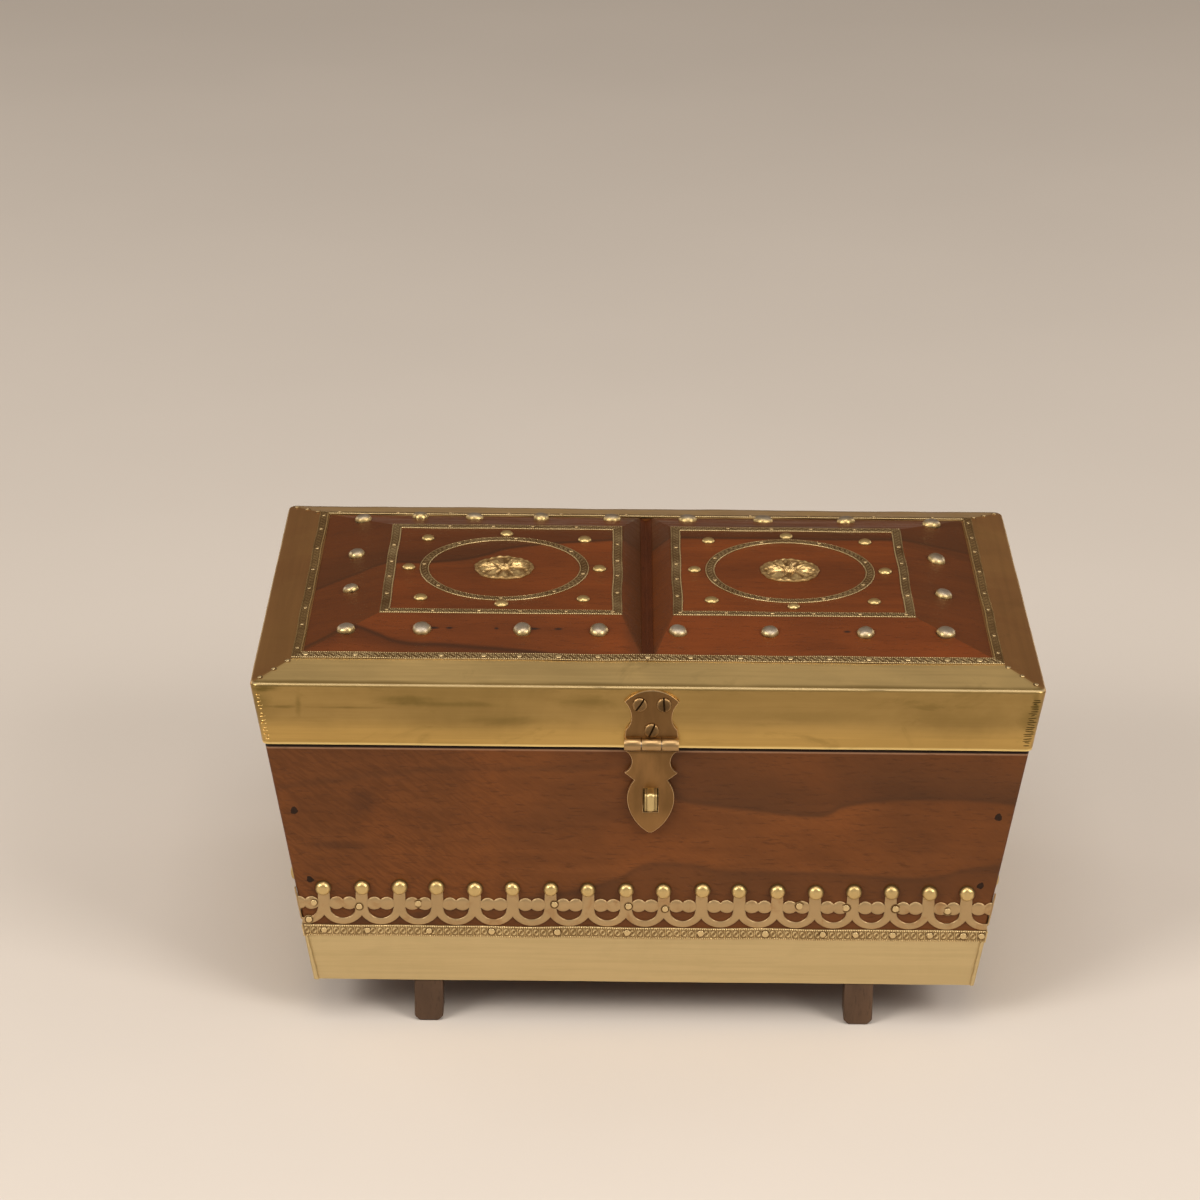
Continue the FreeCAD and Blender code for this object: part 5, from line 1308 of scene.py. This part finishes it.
class CHEST_OT_tacks(bpy.types.Operator):
    """Makes the small pins of the bands, of the strips and of the lid's mitres"""
    bl_idname = "object.chest_tacks"
    bl_label = "Tacks"

    def execute(self, context):
        for name, body, group, seed in (("case_tacks", "case", self.on_case(), 41),
                                        ("lid_tacks", "lid", self.on_lid(), 43),
                                        ("mitre_tacks", "lid", self.on_mitres(), 47)):
            spots, ups, size = (np.concatenate(v) for v in zip(*(
                (spots, np.broadcast_to(up, spots.shape), np.full(len(spots), size))
                for spots, up, size in group)))
            rings, tone = tack_rings(spots, ups, sizes().tack * size, seed)
            add(name, rings, "strip_brass", body, "embossed_brass", relief=tone, crease=50)
        return {"FINISHED"}

    def on_case(self):
        """Pins on the case: places along and up a face, in millimetres."""
        on_strip, on_band = 0.72 * MM, sizes().band_thickness
        strip, band, slope = (STRIP_LOW + STRIP_HIGH) / 2 / MM, BAND_LOW / MM, math.hypot(1, LEAN)
        front, left, right = front_face(0), end_face(-1, 0.0), end_face(1, 0.0)
        end_strip = ((-88, -60, -33, -5, 24, 49, 77, 91), strip * slope, on_strip)
        end_heights = np.array((8.8, 9.4, 8.1, 9.2, 8.9, 8.4)) + band * slope
        end_band = ((-80, -44, -2, 37, 66, 90), end_heights, on_band)
        band_heights = np.array((9.3, 7.8, 9.3, 9.5, 9.0, 8.0, 9.8, 9.2, 9.0, 8.2, 1.9)) + band
        rows = (
            (front, (-125.5, -108.5, -84.4, -59.9, -34.2, -6.8, 22.0, 47.3, 69.8, 82.7, 97.2, 111.8, 124.8,
                     132.0), strip, on_strip),
            (back_face(0), (-126, -102, -75, -51, -22, 4, 29, 57, 80, 104, 127), strip, on_strip),
            (front, (-129.3, -111.6, -88.6, -35.3, -6.4, 7.9, 60.3, 78.6, 97.9, 118.2, -131.4), band_heights,
             on_band),
            (left, *end_strip), (left, *end_band), (right, *end_strip), (right, *end_band))
        return [(on_face(place, np.array(u) * MM, w * MM, h), place[3], 1.08) for place, u, w, h in rows]

    def on_lid(self):
        """Pins of the window's strips, the square frames and the rings."""
        s = sizes()
        proud, group = 0.38 * MM, []
        for name, start, end, inward, out in lid_strip_places():
            share = np.array(LID_TACKS[name])[:, None]
            spots = start + (end - start) * share + inward * 2.0 * MM + unit(out) * proud
            group.append((spots, out, 1.0 if name == "front" else 0.62))
        share = np.array((0.03, 0.22, 0.41, 0.58, 0.77, 0.96))
        for name, ahead in (("left", 0.3), ("right", 0)):
            (x0, y0, z0), (x1, y1, _) = low("square_frame_" + name), high("square_frame_" + name)
            w, long, wide, some = s.frame_width / 2, x1 - x0, y1 - y0, share[1:5]
            turn = np.array((0.3, 1.15, 1.9, 2.75, 3.5, 4.4, 5.1, 5.8)) + ahead
            radius, centre = s.ring_radius - s.ring_width / 2, centre_of("ring_strip_" + name)
            x = np.concatenate([x0 + long * share, x0 + long * (some + 0.03), np.full(4, x0 + w),
                                np.full(4, x1 - w), centre[0] + radius * np.cos(turn)])
            y = np.concatenate([np.full(6, y0 + w), np.full(4, y1 - w), y0 + wide * (some - 0.02),
                                y0 + wide * (some + 0.01), centre[1] + radius * np.sin(turn)])
            group.append((np.stack([x, y, np.full(len(x), z0 + proud)], 1), UP, 0.72))
        return group

    def on_mitres(self):
        """Three pins down each mitre of the lid's brass."""
        t = np.array((0.16, 0.42, 0.68))
        from_end, from_side = 0.9 * MM + SLOPE_END * t, 1.0 * MM + SLOPE_LONG * t
        z = WINDOW_TOP - SLOPE_RISE * (1 - t) + 0.05 * MM
        return [(np.stack([sx * (LID_HALF - from_end), LID_MIDDLE + sy * (LID_HALF_WIDE - from_side), z], 1),
                 (sx * 0.22, sy * 0.2, 1.0), 0.72) for sx in (-1, 1) for sy in (-1, 1)]


class CHEST_OT_rosettes(bpy.types.Operator):
    """Makes the two pressed rosettes: petals round a boss, with a beaded rim"""
    bl_idname = "object.chest_rosettes"
    bl_label = "Rosettes"

    def execute(self, context):
        s = sizes()
        r = np.linspace(1.0, 0.03, 46)[:, None]
        for side, name in ((-1, "left"), (1, "right")):
            centre = centre_of("rosette_" + name)
            a = np.linspace(0, TAU, 180, endpoint=False)[None] + 0.35 * side
            bent = a + 0.16 * np.sin(2.0 * a + side) + 0.10 * np.sin(3 * a + 2 * side)
            petal = np.abs(np.cos(s.petals * bent / 2 + 0.6 * r))
            reach = 0.66 + 0.07 * np.sin(3 * bent + side)
            spread = np.clip(1 - ((r - reach * 0.82) / 0.36) ** 2, 0, 1)
            leaf = spread * np.clip((petal - 0.42) / 0.5, 0, 1) ** 0.6
            ridge = np.exp(-((1 - petal) / 0.02) ** 2) * spread
            small = np.clip(1 - ((r - 0.80) / 0.12) ** 2, 0, 1) * np.clip((0.45 - petal) / 0.35, 0, 1)
            boss = np.sqrt(np.clip(1 - (r / 0.21) ** 2, 0, 1))
            dimple = np.exp(-(r / 0.07) ** 2)
            rim = np.exp(-((r - 0.93) / 0.06) ** 2) * (0.82 + 0.18 * np.cos(22 * a + 12 * r))
            height = np.maximum(np.maximum(0.66 * leaf + 0.2 * ridge, 0.95 * boss - 0.3 * dimple),
                                np.maximum(0.42 * rim, 0.40 * small))
            height = np.clip(height + 0.05 * np.sin(7 * a + 9 * r) + 0.04 * np.sin(17 * a - 23 * r), 0, 1)
            edge = 1 + 0.012 * np.cos(13 * a) * (r > 0.9) + 0.02 * np.sin(5 * a)
            radius = s.rosette_radius * 0.955 * r * edge
            top = FIELD_TOP + 0.32 * MM + 1.82 * MM * height
            rings = np.stack([centre[0] + radius * np.cos(a), centre[1] + radius * np.sin(a), top], -1)
            foot = rings[:1].copy()
            foot[..., 2] = FIELD_TOP
            tone = np.clip(0.12 + 1.35 * np.concatenate([np.zeros_like(a), height]), 0, 1)
            add("pressed_rosette_" + name, np.concatenate([foot, rings]), "rosette_brass", "lid",
                "bright_brass", "rosette_" + name, relief=tone, crease=70)
        return {"FINISHED"}


# Hasp, staple and hinges

def arc_through(a, middle, b, count):
    """Points of the circle's arc from a through middle to b, in a plane."""
    a, m, b = (np.array(v, float) for v in (a, middle, b))
    rows = np.array([2 * (m - a), 2 * (b - a)])
    if abs(np.linalg.det(rows)) < 1e-12:
        return a + (b - a) * np.linspace(0, 1, count)[:, None]
    centre = np.linalg.solve(rows, [m @ m - a @ a, b @ b - a @ a])
    start, mid, end = (math.atan2(*(v - centre)[::-1]) for v in (a, m, b))
    mid = start + math.remainder(mid - start, TAU)
    end = mid + math.remainder(end - mid, TAU)
    angle = np.linspace(start, end, count)
    return centre + np.linalg.norm(a - centre) * np.stack([np.cos(angle), np.sin(angle)], -1)


def bowed(a, b, sag, count):
    """Points after a of the arc from a to b that bulges to its right by sag."""
    (ax, ay), (bx, by) = a, b
    span = math.hypot(bx - ax, by - ay)
    middle = (ax + bx) / 2 + sag * (by - ay) / span, (ay + by) / 2 - sag * (bx - ax) / span
    return arc_through(a, middle, b, count)[1:]


def flat_plate(name, outline, holes, thickness, place):
    """A flat plate with eased edges: a filled curve pushed out and bevelled, whose bevel
    gets the value 'edge' 1. Outlines are in a face's own directions."""
    bevel = 0.30 * MM
    curve = bpy.data.curves.new(name, "CURVE")
    curve.dimensions = "2D"
    curve.fill_mode = "BOTH"
    curve.extrude = thickness / 2 - bevel
    curve.bevel_depth = bevel
    curve.bevel_resolution = 1
    curve.offset = -bevel
    for line in [outline] + holes:
        spline = curve.splines.new("POLY")
        spline.points.add(len(line) - 1)
        flat = np.concatenate([line, np.zeros((len(line), 1)), np.ones((len(line), 1))], 1)
        spline.points.foreach_set("co", flat.astype(np.float32).ravel())
        spline.use_cyclic_u = True
    holder = bpy.data.objects.new(name, curve)
    mesh = bpy.data.meshes.new_from_object(holder)
    bpy.data.objects.remove(holder)
    u, w, depth = (read(mesh.vertices, "co") + (0, 0, thickness / 2)).T
    mesh.vertices.foreach_set("co", on_face(place, u, w, depth).astype(np.float32).ravel())
    keep_value(mesh, "edge", (depth < thickness - 0.02 * MM) & (depth > 0.1 * MM))
    mesh.update()
    smooth(mesh, 25)
    return mesh


def knuckles(*stretches, radius):
    """Round knuckles on the hasp's pin with eased ends: rings of circles, one tube for each
    stretch (from, to) along X."""
    turn, soft = np.linspace(0, TAU, 32, endpoint=False), 0.10 * MM
    easing = np.array([(0, radius * 0.1), (0, radius - soft), (soft * 0.3, radius - soft * 0.3),
                       (soft, radius)])
    tubes = []
    for start, end in stretches:
        near, far = easing + (HASP_X + start, 0), (easing * (-1, 1) + (HASP_X + end, 0))[::-1]
        levels = np.concatenate([near, [(HASP_X + (start + end) / 2, radius)], far])
        x, r = levels.T[..., None]
        tubes.append(np.stack([x + 0 * turn, HASP_Y + r * np.cos(turn), HASP_Z + r * np.sin(turn)], -1))
    return np.array(tubes)


def slotted_heads(name, points, up, radius, rise, slot_width, slot_depth, angles, finish, body, slot, *node):
    """Domed screw heads with a slot: a disc whose columns run along the slot, with
    height rise * (0.3 + 0.7 (1 - r^2) ^ 0.4), less the slot's depth in the slot."""
    half = slot_width / 2 / radius
    columns = np.concatenate([np.linspace(-0.995, -half - 0.02, 12),
                              [-half, -half + 0.02, 0, half - 0.02, half],
                              np.linspace(half + 0.02, 0.995, 12)])
    a = np.broadcast_to(columns[:, None], (len(columns), 25))
    b = np.sin(np.linspace(-1, 1, 25) * math.pi / 2) * np.sqrt(1 - a ** 2)
    reach = np.clip(a ** 2 + b ** 2, 0, 1)
    inside = np.abs(a) < half - 0.01
    height = rise * (0.30 + 0.70 * np.sqrt(1 - reach) ** 0.8)
    height = np.where(inside, np.minimum(height, rise - slot_depth), height)
    height[:, [0, -1]] = 0.0
    height[[0, -1]] = 0.0
    up = np.array(up, float)
    side = unit(np.cross(up, [0.0, 0, 1]) if abs(up[2]) < 0.9 else np.cross(up, [0.0, 1, 0]))
    other = np.cross(up, side)
    tubes = []
    for point, angle in zip(points, angles):
        across = math.cos(angle) * side + math.sin(angle) * other
        along = -math.sin(angle) * side + math.cos(angle) * other
        disc = radius * (a[..., None] * across + b[..., None] * along)
        tubes.append(np.array(point) + disc + height[..., None] * up)
    tone = np.where(inside, 0.0, 0.38 + 0.55 * reach ** 4)
    add(name, np.array(tubes), finish, body, slot, *node, relief=tone, crease=30)


class CHEST_OT_hasp(bpy.types.Operator):
    """Makes the hasp: the plate on the lid, its knuckles, its screws, and the swinging leaf"""
    bl_idname = "object.chest_hasp"
    bl_label = "Hasp"

    def execute(self, context):
        thick, top = 1.5 * MM, float(high("hasp_plate")[2]) - HASP_Z
        self.plate(thick, top)
        middle, gap, outer = 3.90 * MM, 0.16 * MM, 2.6 * MM
        rings = knuckles((-HASP_HALF, -middle - gap), (middle + gap, HASP_HALF), radius=outer)
        add("hasp_outer_knuckles", rings, "hasp_worn", "lid", "hasp_bronze", relief=0.75)
        rings = knuckles((-middle + 0.12 * MM, middle - 0.12 * MM), radius=outer - 0.1 * MM)
        add("hasp_middle_knuckle", rings, "hasp_worn", "hasp", "hasp_bronze", relief=0.75)
        self.leaf(thick)
        spots = ((-4.65 * MM, top - 5.8 * MM), (4.65 * MM, top - 5.8 * MM), (0, top - 16.5 * MM))
        points = [(HASP_X + x, LID_FRONT - thick + 0.05 * MM, HASP_Z + z) for x, z in spots]
        slotted_heads("hasp_screw_heads", points, (0, -1, 0), 2.85 * MM, 1.35 * MM, 0.75 * MM, 0.95 * MM,
                      [math.radians(d) for d in (-33, 4, -24)], "screw_bronze", "lid", "hasp_bronze",
                      "hasp_screws")
        dress("steel", "hasp_pin")
        return {"FINISHED"}

    def plate(self, thick, top):
        """The shaped plate on the lid: a round head, a waist and shoulders over the pin."""
        wide, deep = 10.45, 4.8
        corner, waist, shoulder = ((x * MM, top - drop * MM) for x, drop in ((wide, deep), (7.75, 11.5),
                                                                            (9.85, 16.3)))
        head = wide ** 2 / (2 * deep) + deep / 2
        swing = math.asin(wide / head) / 2
        over = (head * math.sin(swing) * MM, top - head * (1 - math.cos(swing)) * MM)
        right = np.concatenate([arc_through((0, top), over, corner, 14), bowed(corner, waist, 0.675 * MM, 9),
                                bowed(waist, shoulder, 0.525 * MM, 7),
                                [(HASP_HALF, 0.9 * MM), (HASP_HALF, 0)]])
        outline = np.concatenate([right, (right * [-1, 1])[::-1][:-1]])
        mesh = flat_plate("hasp_lid_plate", outline, [], thick, front_face(HASP_Z, HASP_X, LID_FRONT))
        piece("hasp_lid_plate", mesh, "hasp_edge", "lid", "hasp_bronze", "hasp_plate")

    def leaf(self, thick):
        """The leaf below the pin: a neck, two ears, two notches and a pointed spade, with a
        slot for the staple."""
        foot = -37.8 * MM
        top, root, edge, neck, ear, notch, spade = MM * np.array([
            (3.8, -0.4), (3.8, -3.1), (10.3, -3.1), (7.4, -7.8), (10.2, -12.5), (6.4, -15.6),
            (9.05, -24.1)])
        point, tip = (1.27 * MM, foot + 0.35 * MM), (0.0, foot)
        right = np.concatenate([[top, root], arc_through(edge, neck, ear, 16), [notch],
                                bowed(notch, spade, -0.85 * MM, 9), bowed(spade, point, -1.71 * MM, 14),
                                bowed(point, tip, -0.18 * MM, 5)])
        outline = np.concatenate([right, (right * [-1, 1])[::-1][1:]])
        half, slot_top, slot_low = 2.825 * MM, -19.0 * MM, -29.05 * MM
        hole = np.array([(-half, slot_low), (half, slot_low), (half, slot_top), (-half, slot_top)])
        place = front_face(HASP_Z, HASP_X, LID_FRONT - 0.1 * MM)
        mesh = flat_plate("hasp_swinging_leaf", outline[::-1], [hole], thick, place)
        piece("hasp_swinging_leaf", mesh, "hasp_edge", "hasp", "hasp_bronze", "hasp_leaf")


class CHEST_OT_staple(bpy.types.Operator):
    """Makes the staple: a strap with a raised rib, bent to a loop, on a small plate"""
    bl_idname = "object.chest_staple"
    bl_label = "Staple"

    def execute(self, context):
        (x0, y0, z0), (x1, y1, z1) = low("staple"), high("staple")
        centre_x, centre_z = (x0 + x1) / 2, (z0 + z1) / 2 + 0.55 * MM
        half, bend, strap, width = 3.75 * MM, 1.3 * MM, 1.0 * MM, 4.8 * MM
        turn = np.linspace(0, math.pi / 2, 10)
        front = y0 + 0.25 * MM
        level = np.linspace(y1, front + bend, 5)[:-1]
        y = np.concatenate([level, front + bend - bend * np.sin(turn), front + bend - bend * np.cos(turn),
                            np.linspace(front + bend, y1, 5)[1:]])
        z = np.concatenate([np.full(4, half), half - bend + bend * np.cos(turn),
                            bend - half - bend * np.sin(turn), np.full(4, -half)]) + centre_z
        tangent = unit(np.gradient(np.stack([y, z], -1), axis=0))
        out = np.stack([tangent[:, 1], -tangent[:, 0]], -1)
        if out[len(out) // 2][0] > 0:
            out = -out
        edge = [-0.5, -0.47, -0.41, -0.36, -0.30, -0.22, -0.1]
        rib = [-0.15, 0.0, 0.0, -0.14, -0.10, 0.14, 0.24]
        across = np.array(edge + [-v for v in edge[::-1]] + [0.5, 0.46, 0, -0.46, -0.5]) * width
        lift = np.array(rib + rib[::-1] + [-0.85, -1.0, -1.0, -1.0, -0.85]) * MM
        rings = np.stack([centre_x + across + 0 * y[:, None], y[:, None] + out[:, :1] * lift,
                          z[:, None] + out[:, 1:] * lift], -1)
        add("staple_strap", rings, "staple_brass", "case", "bright_brass", "staple",
            relief=np.clip(0.55 + 1.6 * lift / MM, 0.15, 1), crease=50)
        rings = block((x0, y1 - strap), (x1, y1), z0, z1)
        rounded(add("staple_plate", rings, "nail_brass", "case", "bright_brass", relief=0.05), 0.25 * MM)
        points = [(centre_x, y1 - strap, z) for z in (z0 + 2.1 * MM, z1 - 2.1 * MM)]
        slotted_heads("staple_screw_heads", points, (0, -1, 0), 1.3 * MM, 0.4 * MM, 0.4 * MM, 0.25 * MM,
                      [0.5, 1.9], "screw_brass", "case", "bright_brass")
        return {"FINISHED"}


class CHEST_OT_hinges(bpy.types.Operator):
    """Dresses the two butt hinges at the back and adds their screws"""
    bl_idname = "object.chest_hinges"
    bl_label = "Hinges"

    def execute(self, context):
        dress("hinge_brass", "hinge_case_leaf_left", "hinge_case_leaf_right", "hinge_lid_leaf_left",
              "hinge_lid_leaf_right")
        dress("steel", "hinge_pin_left", "hinge_pin_right")
        for body, node, up, level in (("case", "hinge_case_leaf_", 1, CASE_TOP),
                                      ("lid", "hinge_lid_leaf_", -1, LID_BOTTOM)):
            points = [(centre_of(node + name)[0] + dx, low(node + name)[1] + 4.0 * MM, level - up * 0.04 * MM)
                      for name in ("left", "right") for dx in (-13 * MM, 13 * MM)]
            slotted_heads("hinge_screw_heads_" + body, points, (0, 0, up), 1.9 * MM, 0.16 * MM, 0.45 * MM,
                          0.12 * MM, [0.3, 1.2, 2.0, 0.9], "screw_brass", body, "bright_brass")
        return {"FINISHED"}


# Stage

class CHEST_OT_stage(bpy.types.Operator):
    """Sets the pale floor, the soft lamps and the camera of the photograph"""
    bl_idname = "object.chest_stage"
    bl_label = "Stage"

    def execute(self, context):
        self.lay_floor(context.scene)
        self.light_world(context.scene)
        warm, white = (1.0, 0.955, 0.90), (1.0, 0.96, 0.91)
        for name, spot, size, power, colour in (("Left lamp", (-1.2, -1.1, 1.2), 0.8, 21.0, warm),
                                                ("Right lamp", (1.2, -1.1, 1.2), 0.8, 21.2, warm),
                                                ("Top lamp", (0.0, -0.55, 1.7), 0.9, 9.0, white),
                                                ("Left back lamp", (-1.6, 1.0, 0.6), 0.8, 5.0, white),
                                                ("Right back lamp", (1.6, 1.0, 0.6), 0.8, 5.0, white)):
            lamp = bpy.data.lights.new(name, "AREA")
            lamp.size = size
            lamp.energy = power
            lamp.color = colour
            holder = bpy.data.objects.new(name, lamp)
            context.scene.collection.objects.link(holder)
            holder.location = spot
            aim = Vector((0, 0, 0.08)) - Vector(spot)
            holder.rotation_euler = aim.to_track_quat("-Z", "Y").to_euler()
        self.set_camera(context.scene)
        context.scene.view_settings.view_transform = "Standard"
        return {"FINISHED"}

    def lay_floor(self, scene):
        """A wide floor, a little clouded, so that its colour isn't flat."""
        mesh = bpy.data.meshes.new("floor")
        reach = 14.0
        mesh.from_pydata([(-reach, -reach, 0), (reach, -reach, 0), (reach, reach, 0), (-reach, reach, 0)], [],
                         [(0, 1, 2, 3)])
        floor = bpy.data.objects.new("floor", mesh)
        scene.collection.objects.link(floor)
        paint = Paint("Floor", Roughness=0.55)
        colour = finishes().floor
        cloud = paint.spread(paint.cloud(3.0), 0.3, 0.7)
        mesh.materials.append(paint.coat(paint.mix(cloud, shade(colour, 0.985), shade(colour, 1.015))))

    def light_world(self, scene):
        """Even pale light all round, browner low down behind the chest."""
        world = bpy.data.worlds.new("Studio")
        scene.world = world
        world.use_nodes = True
        tree = world.node_tree
        place = tree.nodes.new("ShaderNodeTexCoord")
        parts = tree.nodes.new("ShaderNodeSeparateXYZ")
        blend = tree.nodes.new("ShaderNodeMix")
        blend.data_type = "RGBA"
        blend.inputs[6].default_value = (0.43, 0.396, 0.352, 1)
        blend.inputs[7].default_value = (0.20, 0.13, 0.085, 1)
        tree.links.new(place.outputs["Generated"], parts.inputs[0])
        wall = tree.nodes.new("ShaderNodeMath")
        wall.operation = "MULTIPLY"
        for axis, start, end, into in (("Y", 0.0, 0.45, 0), ("Z", 0.70, 0.42, 1)):
            share = tree.nodes.new("ShaderNodeMapRange")
            share.inputs["From Min"].default_value = start
            share.inputs["From Max"].default_value = end
            tree.links.new(parts.outputs[axis], share.inputs["Value"])
            tree.links.new(share.outputs[0], wall.inputs[into])
        tree.links.new(wall.outputs[0], blend.inputs[0])
        tree.links.new(blend.outputs[2], tree.nodes["Background"].inputs["Color"])

    def set_camera(self, scene):
        """The photograph's camera, as fitted to the chest's own corners. Its focal length is
        3842 pixels of a picture 1200 wide."""
        camera = bpy.data.cameras.new("Camera")
        holder = bpy.data.objects.new("Camera", camera)
        scene.collection.objects.link(holder)
        pitch, yaw, roll = (math.radians(d) for d in (22.316, -0.143, 0.5))
        ahead = Vector((math.sin(yaw) * math.cos(pitch), math.cos(yaw) * math.cos(pitch), -math.sin(pitch)))
        right = Vector((math.cos(yaw), -math.sin(yaw), 0))
        up = right.cross(ahead)
        turned_right = math.cos(roll) * right + math.sin(roll) * up
        turned_up = -math.sin(roll) * right + math.cos(roll) * up
        matrix = Matrix((turned_right, turned_up, -ahead)).transposed().to_4x4()
        matrix.translation = Vector((-0.015229, -1.434387, 0.732))
        holder.matrix_world = matrix
        camera.sensor_width = 36.0
        camera.lens = camera.sensor_width * 3842.0 / 1200
        camera.clip_start = 0.05
        camera.clip_end = 60
        scene.camera = holder


class CHEST_PT_sidebar(bpy.types.Panel):
    """Lists the pieces of the chest in the order in which they are made"""
    bl_idname = "CHEST_PT_sidebar"
    bl_label = "Damchiya chest"
    bl_space_type = "VIEW_3D"
    bl_region_type = "UI"
    bl_category = "Chest"

    def draw(self, context):
        for kind in OPERATORS:
            self.layout.operator(kind.bl_idname)
        for group in (context.scene.chest_sizes, context.scene.chest_finishes):
            box = self.layout.box()
            for name in group.__annotations__:
                box.prop(group, name)


OPERATORS = (CHEST_OT_boards, CHEST_OT_muntin, CHEST_OT_feet, CHEST_OT_board_nails, CHEST_OT_panels,
             CHEST_OT_skirt, CHEST_OT_skirt_strips, CHEST_OT_bands, CHEST_OT_crest_nails, CHEST_OT_lid_brass,
             CHEST_OT_lid_strips, CHEST_OT_frames, CHEST_OT_rosettes, CHEST_OT_panel_nails,
             CHEST_OT_tacks, CHEST_OT_hasp, CHEST_OT_staple, CHEST_OT_hinges, CHEST_OT_stage)
CLASSES = (ChestSizes, ChestFinishes) + OPERATORS + (CHEST_PT_sidebar,)


def register():
    for kind in CLASSES:
        bpy.utils.register_class(kind)
    bpy.types.Scene.chest_sizes = PointerProperty(type=ChestSizes)
    bpy.types.Scene.chest_finishes = PointerProperty(type=ChestFinishes)


def unregister():
    del bpy.types.Scene.chest_finishes
    del bpy.types.Scene.chest_sizes
    for kind in reversed(CLASSES):
        bpy.utils.unregister_class(kind)


def main():
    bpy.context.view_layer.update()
    register()
    for kind in OPERATORS:
        group, name = kind.bl_idname.split(".")
        getattr(getattr(bpy.ops, group), name)()
    bpy.context.view_layer.update()


if __name__ == "__main__":
    main()
